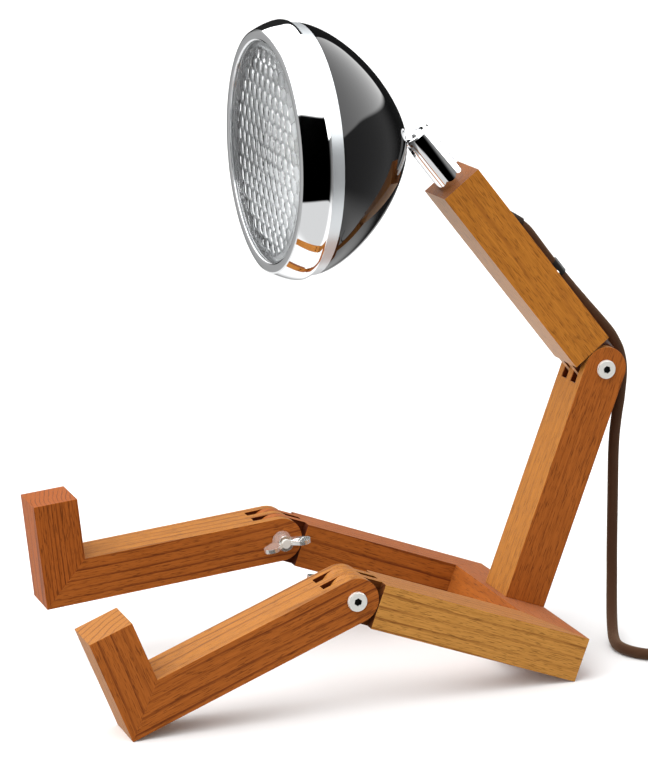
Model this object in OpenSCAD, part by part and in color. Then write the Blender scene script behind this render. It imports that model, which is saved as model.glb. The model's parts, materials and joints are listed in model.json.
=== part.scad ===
// Desk lamp in the shape of a seated wooden figure. Millimetres, +Z up. The figure faces -X and its left
// side is towards -Y. The origin is on the table, under the middle of the lamp.

/* [Stock] */
// Thickness of every wooden limb, seen from the side
beam_d = 28; // [24:1:34]
// Width of every wooden limb, seen from the front
beam_w = 34; // [28:1:44]

/* [Limbs] */
// Width across the hips, over both thighs
hip_w = 176; // [140:2:220]
// Rear edge of the hips to the knee pin
thigh_l = 156; // [120:2:200]
// Knee pin to the face of the heel
shin_l = 156; // [120:2:200]
// Underside of the shin to the tip of the toes
foot_h = 67; // [50:1:90]
// Thickness of the foot
foot_t = 28; // [22:1:36]
// Top of the hips to the waist pin
torso_l = 156; // [120:2:200]
// Waist pin to the end face of the upper beam
upper_l = 157; // [150:1:200]

/* [Pose] */
// Slope of the thighs, which is also how far the torso leans back
hip_pitch = 21; // [10:0.5:28]
// Bend of the right knee, in degrees; the left heel always stands on the table
right_bend = 26; // [10:1:40]
// Bend of the waist, in degrees
waist_bend = 58.5; // [40:0.5:75]
// Nose-down angle of the head
head_pitch = 0; // [-20:1:20]

/* [Finger joints] */
// Gap on each side of a finger
finger_gap = 0.2; // [0.1:0.05:0.5]
// Gap between a round finger end and the floor of its slot
tip_gap = 0.5; // [0.4:0.1:1.5]

/* [Pins and wing nuts] */
// Diameter of the connector bolts
bolt_d = 6; // [5:0.5:8]
// Diameter of the flat bolt head
bolt_head_d = 12; // [10:0.5:16]
// Thickness of the bolt head
bolt_head_t = 2.2; // [1.5:0.1:4]
// Hexagon socket, across flats
socket_af = 4; // [3:0.5:5]
// Washer diameter
washer_d = 12.5; // [11:0.5:18]
// Washer thickness
washer_t = 1.6; // [1:0.1:2.5]
// Wing nut: diameter of the hub at the washer
hub_d = 13; // [11:0.5:16]
// Wing nut: diameter of the hub at its tip
hub_tip_d = 10; // [9:0.5:12]
// Wing nut: height of the hub
hub_h = 8; // [6:0.5:12]
// Wing nut: span over both wings
wing_span = 31; // [26:1:40]
// Wing nut: height of the wings over the washer
wing_h = 16; // [13:0.5:22]
// Wing nut: thickness of the wings
wing_t = 2.6; // [2:0.1:3.5]
// Clearance all round a turning bolt
run_gap = 0.05; // [0.02:0.01:0.1]

/* [Glued and screwed joints] */
// Diameter of the dowels in the mitres
dowel_d = 6; // [4:0.5:8]
// Length of the hip dowels
hip_dowel_l = 30; // [20:1:36]
// Length of the heel dowels
heel_dowel_l = 24; // [16:1:28]
// Clearance at each end of a dowel
dowel_gap = 1; // [0.5:0.1:2]
// Diameter of the wood screws that hold the torso
screw_d = 4.5; // [3.5:0.5:6]
// Length of those screws under the head
screw_l = 44; // [30:1:60]
// Diameter of the wooden plugs over the screws
plug_d = 9.6; // [8:0.2:12]
// Thickness of the wooden plugs
plug_t = 5; // [3:0.5:8]

/* [Neck] */
// Outer diameter of the barrel
barrel_d = 18.5; // [17:0.5:22]
// Bore of the barrel
barrel_bore = 14.1; // [13.6:0.1:15]
// Height of the barrel
barrel_h = 38.5; // [37:0.5:46]
// Rim hole that holds the ball down
rim_hole_d = 12.4; // [11.6:0.1:13]
// Diameter of the ball
ball_d = 14; // [13.4:0.1:14]
// Height of the ball centre over the end of the beam
ball_h = 33; // [32:0.5:34]
// Width of the slot that the stem tilts in
slot_w = 8.4; // [7.8:0.1:9.5]
// Height of the floor of the slot over the end of the beam
slot_floor = 27; // [25:0.5:28.5]
// Diameter of the stem
stem_d = 7; // [6.4:0.1:7.4]
// Diameter of the threaded end of the stem
stem_thread_d = 6; // [5:0.5:6]
// Length of the threaded end of the stem
stem_thread_l = 13.5; // [12:0.5:16]
// Bore of the stem for the leads
stem_bore = 3.6; // [3.2:0.1:4]
// Diameter of the inner lead
lead_d = 3; // [2:0.1:3]
// Outer diameter of the threaded tube in the beam
nipple_d = 10; // [8:0.5:11]
// Bore of the threaded tube
nipple_bore = 7; // [5:0.5:8]
// Depth of the threaded tube in the beam
nipple_in = 18; // [12:1:24]
// Thickness of the foot of the barrel
barrel_foot_t = 6; // [4:0.5:8]
// Thickness of the ring nut in the barrel
ring_nut_t = 3; // [2:0.5:4]
// Thickness of one disc spring
disc_t = 0.8; // [0.5:0.1:1]
// Number of disc springs
discs = 6; // [4:2:6]
// Height of one disc spring
disc_h = 1.4; // [1.2:0.1:1.5]

/* [Lamp head] */
// Ball centre to the widest ring of the head
ring_reach = 85.4; // [80:0.2:95]
// Radius of the widest ring
ring_r = 78.5; // [70:0.5:90]
// Width of the front bevel, from the widest ring to the front edge
bevel_l = 14.8; // [10:0.2:20]
// Narrowing of the bevel at its front edge
bevel_in = 5.4; // [3:0.2:8]
// Width of the flat front lip
lip_w = 6.3; // [4:0.1:9]
// Thickness of the sheet metal of the rim
rim_t = 0.8; // [0.6:0.1:1.2]
// Width of the hem behind the widest ring
hem_l = 2; // [1:0.2:3]
// Step down from the rim to the band behind it
band_step = 1.7; // [1.4:0.1:3]
// Width of the band behind the rim
band_l = 7.8; // [5:0.2:12]
// Depth of the painted shell behind the band
shell_depth = 65.4; // [55:0.2:72]
// Roundness of the shell, where 2 is an ellipse
shell_power = 1.5; // [1.4:0.05:2]
// Thickness of the shell
shell_t = 1; // [0.8:0.1:1.5]
// Thickness of the lens
lens_t = 3; // [2:0.5:4]
// Rise of the lens in its middle
lens_rise = 2; // [1:0.2:3]
// Depth of the reflector
reflector_depth = 44; // [38:1:48]
// Radius of the hole at the back of the reflector
reflector_neck_r = 12; // [11.5:0.5:14]
// Diameter of the lamp holder
holder_d = 22; // [18:0.5:22]
// Length of the lamp holder
holder_l = 18; // [14:1:18]
// Diameter of the bulb
bulb_d = 14; // [10:1:16]
// Length of the bulb
bulb_l = 34; // [28:1:38]

/* [Cord] */
// Diameter of the cord
cord_d = 7; // [5:0.5:7.2]
// Thickness of the cord clip
clip_t = 0.8; // [0.5:0.1:1.2]
// Width of the cord clip along the beam
clip_w = 10; // [6:1:14]
// Waist pin to the middle of the cord clip
clip_at = 67; // [60:1:74]
// Waist pin to where the cord leaves the beam
exit_at = 112; // [108:1:116]
// Slant of the cord hole to the beam
exit_slant = 25; // [20:1:30]
// Wall of the rubber sleeve in the cord hole
sleeve_t = 1.2; // [0.8:0.1:1.8]
// Length of the sleeve that stands out of the hole
sleeve_out = 8; // [5:1:12]

/* [Switch and plug] */
// Length of the cord switch
switch_l = 66; // [60:1:76]
// Width of the cord switch
switch_w = 27; // [24:1:32]
// Height of the cord switch
switch_h = 18; // [16:0.5:22]
// Length of the rocker
rocker_l = 19; // [16:0.5:24]
// Width of the rocker
rocker_w = 11; // [9:0.5:14]
// Length of the plug body
plug_l = 36; // [32:1:42]
// Width of the plug body
plug_w = 35.5; // [30:0.5:38]
// Thickness of the plug body
plug_h = 14; // [12:0.5:16]
// Length of the strain relief of the plug
relief_l = 22; // [20:1:40]
// Diameter of the plug pins
pin_d = 4; // [4:0.1:4.8]
// Length of the plug pins
pin_l = 19; // [19:0.5:20]
// Distance between the plug pins
pin_pitch = 18.6; // [17:0.2:19]

/* [Hidden] */

$fn = 64;
left = -1;
right = 1;
wood = "peru";
cut = 1; // how far a cutting body reaches past a face

// Finger joints: five layers share the width of a limb.
finger_t = (beam_w - 4 * finger_gap) / 5;
finger_pitch = finger_t + finger_gap;
knuckle_r = beam_d / 2;
shoulder = knuckle_r + tip_gap;
bolt_bore = bolt_d + 2 * run_gap;

// Pose. The left heel and the rear edge of the hips stand on the table.
knee_z = thigh_l * sin(hip_pitch) + knuckle_r * cos(hip_pitch);
left_bend = hip_pitch + asin(knee_z / norm([shin_l, knuckle_r])) - atan(knuckle_r / shin_l);
upper_lean = waist_bend - hip_pitch;
left_toe_x = knuckle_r * sin(hip_pitch) - thigh_l * cos(hip_pitch)
    - shin_l * cos(hip_pitch - left_bend) + (foot_h - knuckle_r) * sin(hip_pitch - left_bend);
waist_x = (beam_d + torso_l) * sin(hip_pitch) - knuckle_r * cos(hip_pitch);
rear_x = -(left_toe_x + waist_x + knuckle_r) / 2;

// Neck, measured up the beam from the end face.
stem_reach = 0.3; // the shoulder of the stem sits this far into the hollow tip of the shell
ring_nut_d = barrel_bore - 0.6;
springs_at = barrel_foot_t + ring_nut_t;
seat_at = springs_at + discs * disc_h + 0.1;
lead_gap = 2; // between the two leads in the ball

// Lamp head, measured forwards from the widest ring.
band_r = ring_r - band_step;
band_end = -hem_l - band_l;
shell_r = band_r - 0.8;
apex = band_end - shell_depth;
lip_z = bevel_l + rim_t / 2;
front_r = ring_r - bevel_in;
opening_r = front_r - lip_w;
glass_r = opening_r + 1.7;
gasket_t = 2;
flange_z = 8; // back of the reflector flange
flange_t = 1;
glass_z = flange_z + flange_t; // back edge of the glass
neck_z = flange_z - reflector_depth;
focus = (pow(opening_r - 2, 2) - pow(reflector_neck_r, 2)) / (4 * reflector_depth);
cup_t = 1;
collar_w = 5;
apex_reach = ring_reach + apex; // ball centre to the tip of the shell

// Cord routes. The beam route has its distance up the beam and its height off the back face of the beam.
beam_route = [
    [137.5, -11.9], [130, -8.4], [121, -4.2], [112, 0], [108, 1.8], [103, 3.4], [98, 4.1],
    [92, 4.1], [84, 3.9], [76, 3.8], [67, 3.8], [56, 4], [46, 4.4], [36, 4.9], [27, 5.4],
];
waist_route = [[26.9, 5.405], [22, 5.68], [17, 5.9], [12, 6.1], [8, 6], [4, 5.5], [0, 4.8], [-4, 3.8]];
under_waist_route = [[190.2, 0, 178], [190.8, 0, 172], [190.4, 0, 164]];
drop_route = [
    [190.4, 0, 164], [189, 0, 152], [187, 0, 140], [185.6, 0, 128], [184.9, 0, 115], [184.6, 0, 98],
    [184.3, 0, 80], [184, 0, 62], [183.6, -0.6, 50], [182.6, -2.8, 38.4], [180.6, -7, 27.6], [177.8, -13.2, 18],
    [174.6, -21, 10.6], [171.4, -29.8, 5.6], [169.1, -39, 3.8], [168.6, -47.6, 3.7], [170.6, -56, 3.7],
    [174.9, -63.4, 3.7], [180.9, -69, 3.8], [187.6, -73.7, 4.6], [194.2, -78.3, 6.2], [200.7, -82.9, 7],
    [207.2, -87.5, 7],
];
tail_route = [
    [247.9, -116, 7], [254.8, -120.8, 7], [262, -125, 5.9], [270.5, -128, 4.3], [280, -129, 3.7], [290, -127.2, 3.7],
    [299.5, -122.2, 3.7], [307.8, -114.5, 3.7], [314.3, -105.2, 3.7], [319.8, -95.3, 3.7],
];
plug_route = [
    [341.6, -24, 9.8], [341.6, -15, 7.3], [341.2, -5, 4.9], [338.6, 6, 3.8], [332.2, 15.6, 4.1], [323.2, 21.7, 5.5],
    [312.5, 24, 7], [308, 24, 7.2],
];
coil_at = [294, -48, 0];
coil_inner_r = 31.5;
coil_outer_r = 52.5;
coil_h = 14.2;
switch_at = [227.73, -101.83, 0.2];
switch_turn = -35;
switch_cord_z = 6.8; // middle of the cord over the base of the switch
switch_split = 9;
switch_wall = 2;
rocker_gap = 0.9;
plug_at = [308, 24, 7.2];

function unit(v) = v / norm(v);
function tangents(p) =
    [for (i = [0 : len(p) - 1]) unit(p[min(i + 1, len(p) - 1)] - p[max(i - 1, 0)])];
// Carries a direction along a route without twist.
function carried(t, n) = [
    for (i = 0, v = n; i < len(t); i = i + 1, v = let (s = t[min(i, len(t) - 1)]) unit(v - (v * s) * s)) v
];
// A point of a beam route, in the frame of the lamp.
function from_beam(q) = [
    rear_x + waist_x + cos(upper_lean) * (knuckle_r + q[1]) - sin(upper_lean) * q[0],
    0,
    waist_z + sin(upper_lean) * (knuckle_r + q[1]) + cos(upper_lean) * q[0]
];
waist_z = (beam_d + torso_l) * cos(hip_pitch) + knuckle_r * sin(hip_pitch);

// ---------------------------------------------------------------- places

// The frame of the hips: the limbs run towards -X, and the rear edge is at the origin.
module at_hips() translate([rear_x, 0, 0]) rotate([0, hip_pitch, 0]) children();

// The frame of a knee: the shin runs towards -X from the pin.
module at_knee(side, bend)
    at_hips() translate([-thigh_l, side * (hip_w - beam_w) / 2, knuckle_r]) rotate([0, -bend, 0]) children();

module at_waist() at_hips() translate([-knuckle_r, 0, beam_d + torso_l]) children();

// The frame of the upper beam: it runs towards +Z from the waist pin, with its back towards +X.
module at_upper() at_waist() rotate([0, -waist_bend, 0]) children();

module at_neck() at_upper() translate([0, 0, upper_l]) children();

// The frame of the ball: the head looks towards -X.
module at_ball() at_neck() translate([0, 0, ball_h]) rotate([0, upper_lean + head_pitch, 0]) children();

// The frame of the lamp head: +Z runs forwards, from the plane of the widest ring.
module at_head() at_ball() rotate([0, -90, 0]) translate([0, 0, ring_reach]) children();

// From the outer face of a knee inwards, along +Z.
module into_knee(side, bend)
    at_knee(side, bend) translate([0, side * beam_w / 2, 0]) rotate([side * 90, 0, 0]) children();

// From the left face of the waist to the right, along +Z.
module into_waist() at_waist() translate([0, -beam_w / 2, 0]) rotate([-90, 0, 0]) children();

// ---------------------------------------------------------------- wooden limbs

// An outline in X and Z, as thick as a limb is wide.
module across(w = beam_w) rotate([90, 0, 0]) linear_extrude(w, center = true) children();

module limb_outline(l) {
    circle(knuckle_r, $fn = 96);
    translate([-l, -knuckle_r]) square([l, beam_d]);
}

// Slots for the fingers of the other limb, in the layers that are named, and the bore for the pin.
module finger_slots(layers) {
    for (k = layers)
        translate([-shoulder, k * finger_pitch - finger_t / 2 - finger_gap, -beam_d])
            cube([2 * shoulder, finger_t + 2 * finger_gap, 2 * beam_d]);
    across(beam_w + 2 * cut) circle(d = bolt_bore, $fn = 48);
}

// Three fingers, in the outer and middle layers.
module three_fingers() difference() {
    children();
    finger_slots([-1, 1]);
}

// Two fingers, between those of the other limb.
module two_fingers() difference() {
    children();
    finger_slots([-2, 0, 2]);
}

// Two dowel holes or dowels, across a mitre whose middle is at the origin.
module dowel_pair(l, d, spread)
    for (k = [-1, 1]) translate([0, k * spread, 0]) cylinder(h = l, d = d, center = true, $fn = 32);

module hip_dowel_row(side, l, d)
    translate([-beam_w / 2, side * (hip_w - beam_w) / 2, beam_d / 2])
        rotate([0, 0, side * -45]) rotate([0, 90, 0]) rotate([0, 0, 90]) dowel_pair(l, d, beam_d / 5);

module heel_dowel_row(l, d)
    translate([-shin_l + foot_t / 2, 0, 0]) rotate([0, -45, 0]) dowel_pair(l, d, beam_w / 4);

module thigh(side) color(wood) at_hips() difference() {
    translate([-thigh_l, side * (hip_w - beam_w) / 2, knuckle_r])
        two_fingers() across() mirror([1, 0]) limb_outline(thigh_l);
    linear_extrude(3 * beam_d, center = true)
        polygon([
            [cut, side * (hip_w / 2 + cut)], [-beam_w - cut, side * (hip_w / 2 - beam_w - cut)],
            [cut, side * (hip_w / 2 - beam_w - cut)]
        ]);
    hip_dowel_row(side, hip_dowel_l + 2 * dowel_gap, dowel_d);
}

module hip_crosspiece() color(wood) at_hips() difference() {
    linear_extrude(beam_d)
        polygon([
            [0, -hip_w / 2], [0, hip_w / 2], [-beam_w, hip_w / 2 - beam_w], [-beam_w, beam_w - hip_w / 2]
        ]);
    for (side = [left, right]) hip_dowel_row(side, hip_dowel_l + 2 * dowel_gap, dowel_d);
    at_torso_screws() {
        cylinder(h = plug_t + screw_head_h, d = plug_d, $fn = 48);
        cylinder(h = beam_d + cut, d = screw_d, $fn = 32);
    }
}

screw_head_d = 2 * screw_d - 0.6;
screw_head_h = 3;

// From the underside of the hips upwards.
module at_torso_screws()
    for (k = [-1, 1]) translate([-knuckle_r, k * beam_w / 4, 0]) children();

module torso() color(wood) at_hips() difference() {
    translate([-knuckle_r, 0, beam_d + torso_l])
        rotate([0, -90, 0]) three_fingers() across() limb_outline(torso_l);
    at_torso_screws() cylinder(h = plug_t + screw_head_h + screw_l, d = screw_d, $fn = 32);
}

module shin(side, bend) color(wood) at_knee(side, bend) difference() {
    three_fingers() across() {
        circle(knuckle_r, $fn = 96);
        polygon([[0, -knuckle_r], [0, knuckle_r], [foot_t - shin_l, knuckle_r], [-shin_l, -knuckle_r]]);
    }
    heel_dowel_row(heel_dowel_l + 2 * dowel_gap, dowel_d);
}

module foot(side, bend) color(wood) at_knee(side, bend) difference() {
    across()
        polygon([
            [-shin_l, -knuckle_r], [foot_t - shin_l, knuckle_r],
            [foot_t - shin_l, foot_h - knuckle_r], [-shin_l, foot_h - knuckle_r]
        ]);
    heel_dowel_row(heel_dowel_l + 2 * dowel_gap, dowel_d);
}

// The slanted hole for the cord, from the axis of the beam down to its back face.
module at_cord_hole()
    translate([knuckle_r, 0, exit_at]) rotate([0, 180 - exit_slant, 0]) children();

hole_reach = knuckle_r / sin(exit_slant);
sleeve_d = cord_d + 2 * sleeve_t;

module at_clip_screws()
    for (k = [-1, 1])
        translate([knuckle_r, k * clip_screw_y, clip_at]) rotate([0, 90, 0]) children();

clip_in_r = cord_d / 2 + 0.15;
clip_cord_z = 3.8; // middle of the cord over the beam, under the clip
clip_foot = 6.5;
clip_screw_y = clip_in_r + clip_t + clip_foot / 2;
clip_screw_d = 2.2;
clip_screw_l = 10;

module upper_beam() color(wood) at_upper() difference() {
    rotate([0, 90, 0]) two_fingers() across() limb_outline(upper_l);
    translate([0, 0, upper_l - nipple_in - cut]) cylinder(h = nipple_in + 2 * cut, d = nipple_d, $fn = 48);
    at_cord_hole() translate([0, 0, -hole_reach]) cylinder(h = 2 * hole_reach, d = sleeve_d, $fn = 48);
    at_clip_screws() translate([0, 0, -clip_screw_l]) cylinder(h = clip_screw_l + cut, d = clip_screw_d, $fn = 24);
}

module hip_dowels() color("burlywood") at_hips()
    for (side = [left, right]) hip_dowel_row(side, hip_dowel_l, dowel_d);

module heel_dowels(side, bend) color("burlywood") at_knee(side, bend) heel_dowel_row(heel_dowel_l, dowel_d);

module torso_screws() color("silver") at_hips() at_torso_screws() translate([0, 0, plug_t]) {
    cylinder(h = screw_head_h, d1 = screw_head_d, d2 = screw_d, $fn = 32);
    translate([0, 0, screw_head_h - 0.2]) cylinder(h = screw_l - 4, d = screw_d, $fn = 32);
    translate([0, 0, screw_head_h + screw_l - 4.2]) cylinder(h = 4, d1 = screw_d, d2 = 1, $fn = 32);
}

module screw_plugs() color(wood) at_hips() at_torso_screws() cylinder(h = plug_t, d = plug_d, $fn = 48);

// ---------------------------------------------------------------- pins, washers and wing nuts

// A connector bolt through a limb: its head is under z = 0.
module connector_bolt() color("silver") difference() {
    union() {
        translate([0, 0, -bolt_head_t + 0.4]) cylinder(h = bolt_head_t - 0.4, d = bolt_head_d, $fn = 64);
        translate([0, 0, -bolt_head_t]) cylinder(h = 0.4, d1 = bolt_head_d - 0.8, d2 = bolt_head_d, $fn = 64);
        cylinder(h = beam_w + washer_t + hub_h + 1, d = bolt_d, $fn = 48);
    }
    translate([0, 0, -bolt_head_t - cut]) cylinder(h = cut + 1.7, d = socket_af / cos(30), $fn = 6);
}

module limb_washer() color("silver") translate([0, 0, beam_w]) difference() {
    cylinder(h = washer_t, d = washer_d, $fn = 48);
    translate([0, 0, -cut]) cylinder(h = washer_t + 2 * cut, d = bolt_bore, $fn = 48);
}

module wing_outline() {
    ear_r = wing_h / 3.2;
    ear_x = wing_span / 2 - ear_r;
    ear_y = wing_h - ear_r;
    polygon([
        [0, 1], [hub_d / 2 - 1, 1], [ear_x + ear_r * sin(40), ear_y - ear_r * cos(40)],
        [ear_x - ear_r * sin(60), ear_y + ear_r * cos(60)], [0, hub_h - 2]
    ]);
    translate([ear_x, ear_y]) circle(ear_r, $fn = 48);
}

module wing_nut(turn) color("silver") translate([0, 0, beam_w + washer_t]) difference() {
    union() {
        cylinder(h = hub_h, d1 = hub_d, d2 = hub_tip_d, $fn = 64);
        rotate([0, 0, turn]) rotate([90, 0, 0]) linear_extrude(wing_t, center = true) {
            wing_outline();
            mirror([1, 0]) wing_outline();
        }
    }
    translate([0, 0, -cut]) cylinder(h = wing_h + 2 * cut, d = bolt_bore, $fn = 48);
}

// ---------------------------------------------------------------- neck

module neck_nipple() color("gold") at_neck() translate([0, 0, -nipple_in]) difference() {
    cylinder(h = nipple_in + springs_at, d = nipple_d, $fn = 48);
    translate([0, 0, -cut]) cylinder(h = nipple_in + springs_at + 2 * cut, d = nipple_bore, $fn = 48);
}

module nipple_nut() color("silver") at_neck() translate([0, 0, barrel_foot_t]) difference() {
    cylinder(h = ring_nut_t, d = ring_nut_d, $fn = 48);
    translate([0, 0, -cut]) cylinder(h = ring_nut_t + 2 * cut, d = nipple_d, $fn = 48);
}

module neck_barrel() color("silver") at_neck() difference() {
    union() {
        cylinder(h = barrel_h - 0.8, d = barrel_d, $fn = 96);
        translate([0, 0, barrel_h - 0.8]) cylinder(h = 0.8, d1 = barrel_d, d2 = barrel_d - 1.6, $fn = 96);
    }
    translate([0, 0, -cut]) cylinder(h = ball_h + cut, d = barrel_bore, $fn = 96);
    translate([0, 0, ball_h]) sphere(d = ball_d + 2 * run_gap, $fn = 96);
    translate([0, 0, ball_h]) cylinder(h = barrel_h, d = rim_hole_d, $fn = 96);
    translate([-barrel_d, -slot_w / 2, slot_floor + slot_w / 2]) cube([barrel_d, slot_w, barrel_h]);
    translate([0, 0, slot_floor + slot_w / 2]) rotate([0, -90, 0]) cylinder(h = barrel_d, d = slot_w, $fn = 48);
}

module barrel_foot() color("gold") at_neck() difference() {
    cylinder(h = barrel_foot_t, d = barrel_bore, $fn = 96);
    translate([0, 0, -cut]) cylinder(h = barrel_foot_t + 2 * cut, d = nipple_d + 2 * run_gap, $fn = 48);
}

// Disc springs, with their hollow sides facing in pairs.
module disc_springs() color("dimgray") at_neck()
    for (k = [0 : discs - 1])
        translate([0, 0, springs_at + disc_h * (k + (k % 2 == 0 ? 0.03 : 0.97))])
            mirror([0, 0, k % 2]) rotate_extrude($fn = 64) disc_section();

module disc_section() {
    rise = disc_h - disc_t - 0.06;
    polygon([[nipple_bore / 2, rise], [ring_nut_d / 2, 0], [ring_nut_d / 2, disc_t], [nipple_bore / 2, rise + disc_t]]);
}

module ball_seat() color("ivory") at_neck() difference() {
    translate([0, 0, seat_at]) cylinder(h = ball_h - 3.5 - seat_at, d = barrel_bore - 0.2, $fn = 64);
    translate([0, 0, ball_h]) sphere(d = ball_d + 2 * run_gap, $fn = 96);
    cylinder(h = ball_h, d = ball_d / 2 + 1, $fn = 48);
    translate([-barrel_d, -slot_w / 2, slot_floor]) cube([barrel_d, slot_w, barrel_h]);
}

module ball_stem() color("silver") at_ball() difference() {
    union() {
        sphere(d = ball_d, $fn = 96);
        rotate([0, -90, 0]) cylinder(h = apex_reach + stem_reach, d = stem_d, $fn = 64);
        rotate([0, -90, 0]) cylinder(h = apex_reach + stem_reach + stem_thread_l, d = stem_thread_d, $fn = 64);
    }
    rotate([0, -90, 0]) cylinder(h = ring_reach, d = stem_bore, $fn = 32);
    translate([-stem_bore / 2, -stem_bore / 2, -ball_d]) cube([ball_d, stem_bore, ball_d + stem_bore / 2]);
}

// Where the washer meets the inside of the shell.
stem_washer_r = 5.5;
washer_seat = apex_reach + shell_t + 0.95;
stem_nut_t = 5;

module stem_washer() color("silver") at_ball() rotate([0, -90, 0]) translate([0, 0, washer_seat]) difference() {
    cylinder(h = 1, r = stem_washer_r, $fn = 48);
    translate([0, 0, -cut]) cylinder(h = 1 + 2 * cut, d = stem_thread_d, $fn = 48);
}

module stem_nut() color("silver") at_ball() rotate([0, -90, 0]) translate([0, 0, washer_seat + 1]) difference() {
    cylinder(h = stem_nut_t, d = 10 / cos(30), $fn = 6);
    translate([0, 0, -cut]) cylinder(h = stem_nut_t + 2 * cut, d = stem_thread_d, $fn = 48);
}

// ---------------------------------------------------------------- lamp head

// Outline of the domed shell, from its front edge back to the hole at its tip.
function dome(r, depth, hole_r) =
    let (e = 2 / shell_power, last = acos(pow(hole_r / r, 1 / e)), n = 20)
    [for (i = [0 : n]) let (a = last * i / n) [r * pow(cos(a), e), band_end - depth * pow(sin(a), e)]];

function turned_round(p) = [for (i = [len(p) - 1 : -1 : 0]) p[i]];

shell_hole_r = stem_thread_d / 2 + 0.1;

module head_shell() color([0.03, 0.03, 0.03]) at_head() difference() {
    rotate_extrude($fn = 128)
        polygon(concat(
            [[shell_r - rim_t, band_end + band_l - 2], [shell_r - rim_t, band_end]],
            dome(shell_r, shell_depth, shell_hole_r),
            turned_round(dome(shell_r - rim_t - shell_t, shell_depth - shell_t, shell_hole_r)),
            [[shell_r - rim_t - shell_t, band_end + band_l - 2]]
        ));
    at_rim_screw() cylinder(h = 9, d = rim_screw_d, center = true, $fn = 32);
}

module trim_band() color("silver") at_head() difference() {
    rotate_extrude($fn = 128)
        polygon([
            [band_r - rim_t, band_end + band_l + 4], [shell_r - rim_t, band_end], [shell_r, band_end],
            [band_r, -hem_l], [band_r, -hem_l + 4 + band_step]
        ]);
    at_rim_screw() {
        cylinder(h = 9, d = rim_screw_d, center = true, $fn = 32);
        translate([0, 0, -1.2]) cylinder(h = 1.6, d1 = rim_screw_d, d2 = rim_screw_d + 3.2, $fn = 32);
    }
}

// The bevel swells a little between the widest ring and its front edge.
function bevel(r, z0, z1, inset) =
    [for (i = [0 : 8]) let (f = i / 8) [r - inset * pow(f, 1.5), z0 + (z1 - z0) * f]];

module front_rim() color("silver") at_head() rotate_extrude($fn = 128)
    polygon(concat(
        [[band_r + 0.05, -hem_l], [ring_r - 0.3, -hem_l]],
        bevel(ring_r, 0, bevel_l, bevel_in),
        [[front_r - 1, lip_z], [opening_r + 1, lip_z], [opening_r, lip_z - 0.4], [opening_r, lip_z - 1.2]],
        turned_round(bevel(ring_r - rim_t, -0.2, bevel_l - rim_t, bevel_in)),
        [[band_r + 0.05, -0.8]]
    ));

rim_screw_d = 2.6;

// The screw that holds the rim and the band to the shell, at the bottom of the head, outwards along +Z.
module at_rim_screw()
    translate([-(shell_r + band_r) / 2 + 0.1, 0, band_end + band_l / 2]) rotate([0, -90, 0]) children();

module rim_screw() color("silver") at_head() at_rim_screw() {
    translate([0, 0, -7]) cylinder(h = 7, d = rim_screw_d, $fn = 32);
    difference() {
        translate([0, 0, -1.2]) cylinder(h = 1.2, d1 = rim_screw_d, d2 = rim_screw_d + 2.4, $fn = 32);
        translate([-3, -0.3, -0.4]) cube([6, 0.6, 2]);
    }
    difference() {
        translate([-2.7, -2.7, -5.4]) cube([5.4, 5.4, 2]);
        translate([0, 0, -6]) cylinder(h = 4, d = rim_screw_d + 2 * run_gap, $fn = 32);
    }
}

// A shallow dome of glass with a thick edge.
module lens() color([0.85, 0.9, 0.95, 0.5]) at_head() rotate_extrude($fn = 128)
    polygon(concat(
        [[glass_r - gasket_t, glass_z], [glass_r, glass_z], [glass_r, glass_z + lens_t + 1.6]],
        [for (i = [6 : -1 : 0]) let (f = i / 6)
            [glass_r * 0.985 * f, glass_z + lens_t + 1.6 + lens_rise * (1 - f * f)]],
        [for (i = [0 : 6]) let (f = i / 6)
            [(glass_r - gasket_t) * f, glass_z + 1.6 + lens_rise * (1 - f * f)]]
    ));

module lens_gasket() color([0.6, 0.6, 0.6]) at_head() rotate_extrude($fn = 128) difference() {
    translate([opening_r + 0.2, flange_z - 0.8])
        square([glass_r + gasket_t - opening_r - 0.2, lip_z - 1.2 - flange_z + 0.8]);
    translate([0, flange_z]) square([glass_r, flange_t + lens_t + 1.6]);
}

// Four spring clips that press the reflector and the glass into the rim.
module lens_clips() color("dimgray") at_head()
    for (k = [0 : 3]) rotate([0, 0, 45 + 90 * k - 6]) rotate_extrude(angle = 12, $fn = 128)
        polygon([
            [glass_r - 2.4, flange_z - 1.5], [glass_r + 3.4, flange_z - 1.5], [glass_r + 3.4, flange_z + 4.4],
            [glass_r + 2.7, flange_z + 4.4], [glass_r + 2.7, flange_z - 0.8], [glass_r - 2.4, flange_z - 0.8]
        ]);

function bowl(offset) = [
    for (i = [0 : 14]) let (r = reflector_neck_r + (opening_r - 2 - reflector_neck_r) * i / 14)
        [r + offset * r / opening_r, neck_z + (r * r - pow(reflector_neck_r, 2)) / (4 * focus) - offset]
];

module reflector() color("gainsboro") at_head() rotate_extrude($fn = 128)
    polygon(concat(
        bowl(0),
        [[glass_r - 0.1, flange_z], [glass_r - 0.1, flange_z + flange_t], [opening_r - 2.6, flange_z + flange_t]],
        [for (i = [13 : -1 : 1]) bowl(-flange_t)[i]],
        [[reflector_neck_r, neck_z + flange_t]]
    ));

// A cup on the back of the reflector holds the lamp holder.
module holder_cup() color("silver") at_head() translate([0, 0, neck_z]) rotate_extrude($fn = 96)
    polygon([
        [holder_d / 2 + 0.1, 0], [reflector_neck_r + collar_w, 0], [reflector_neck_r + collar_w, -cup_t],
        [holder_d / 2 + 0.1 + cup_t, -cup_t], [holder_d / 2 + 0.1 + cup_t, -holder_l - cup_t],
        [4, -holder_l - cup_t], [4, -holder_l], [holder_d / 2 + 0.1, -holder_l]
    ]);

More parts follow.
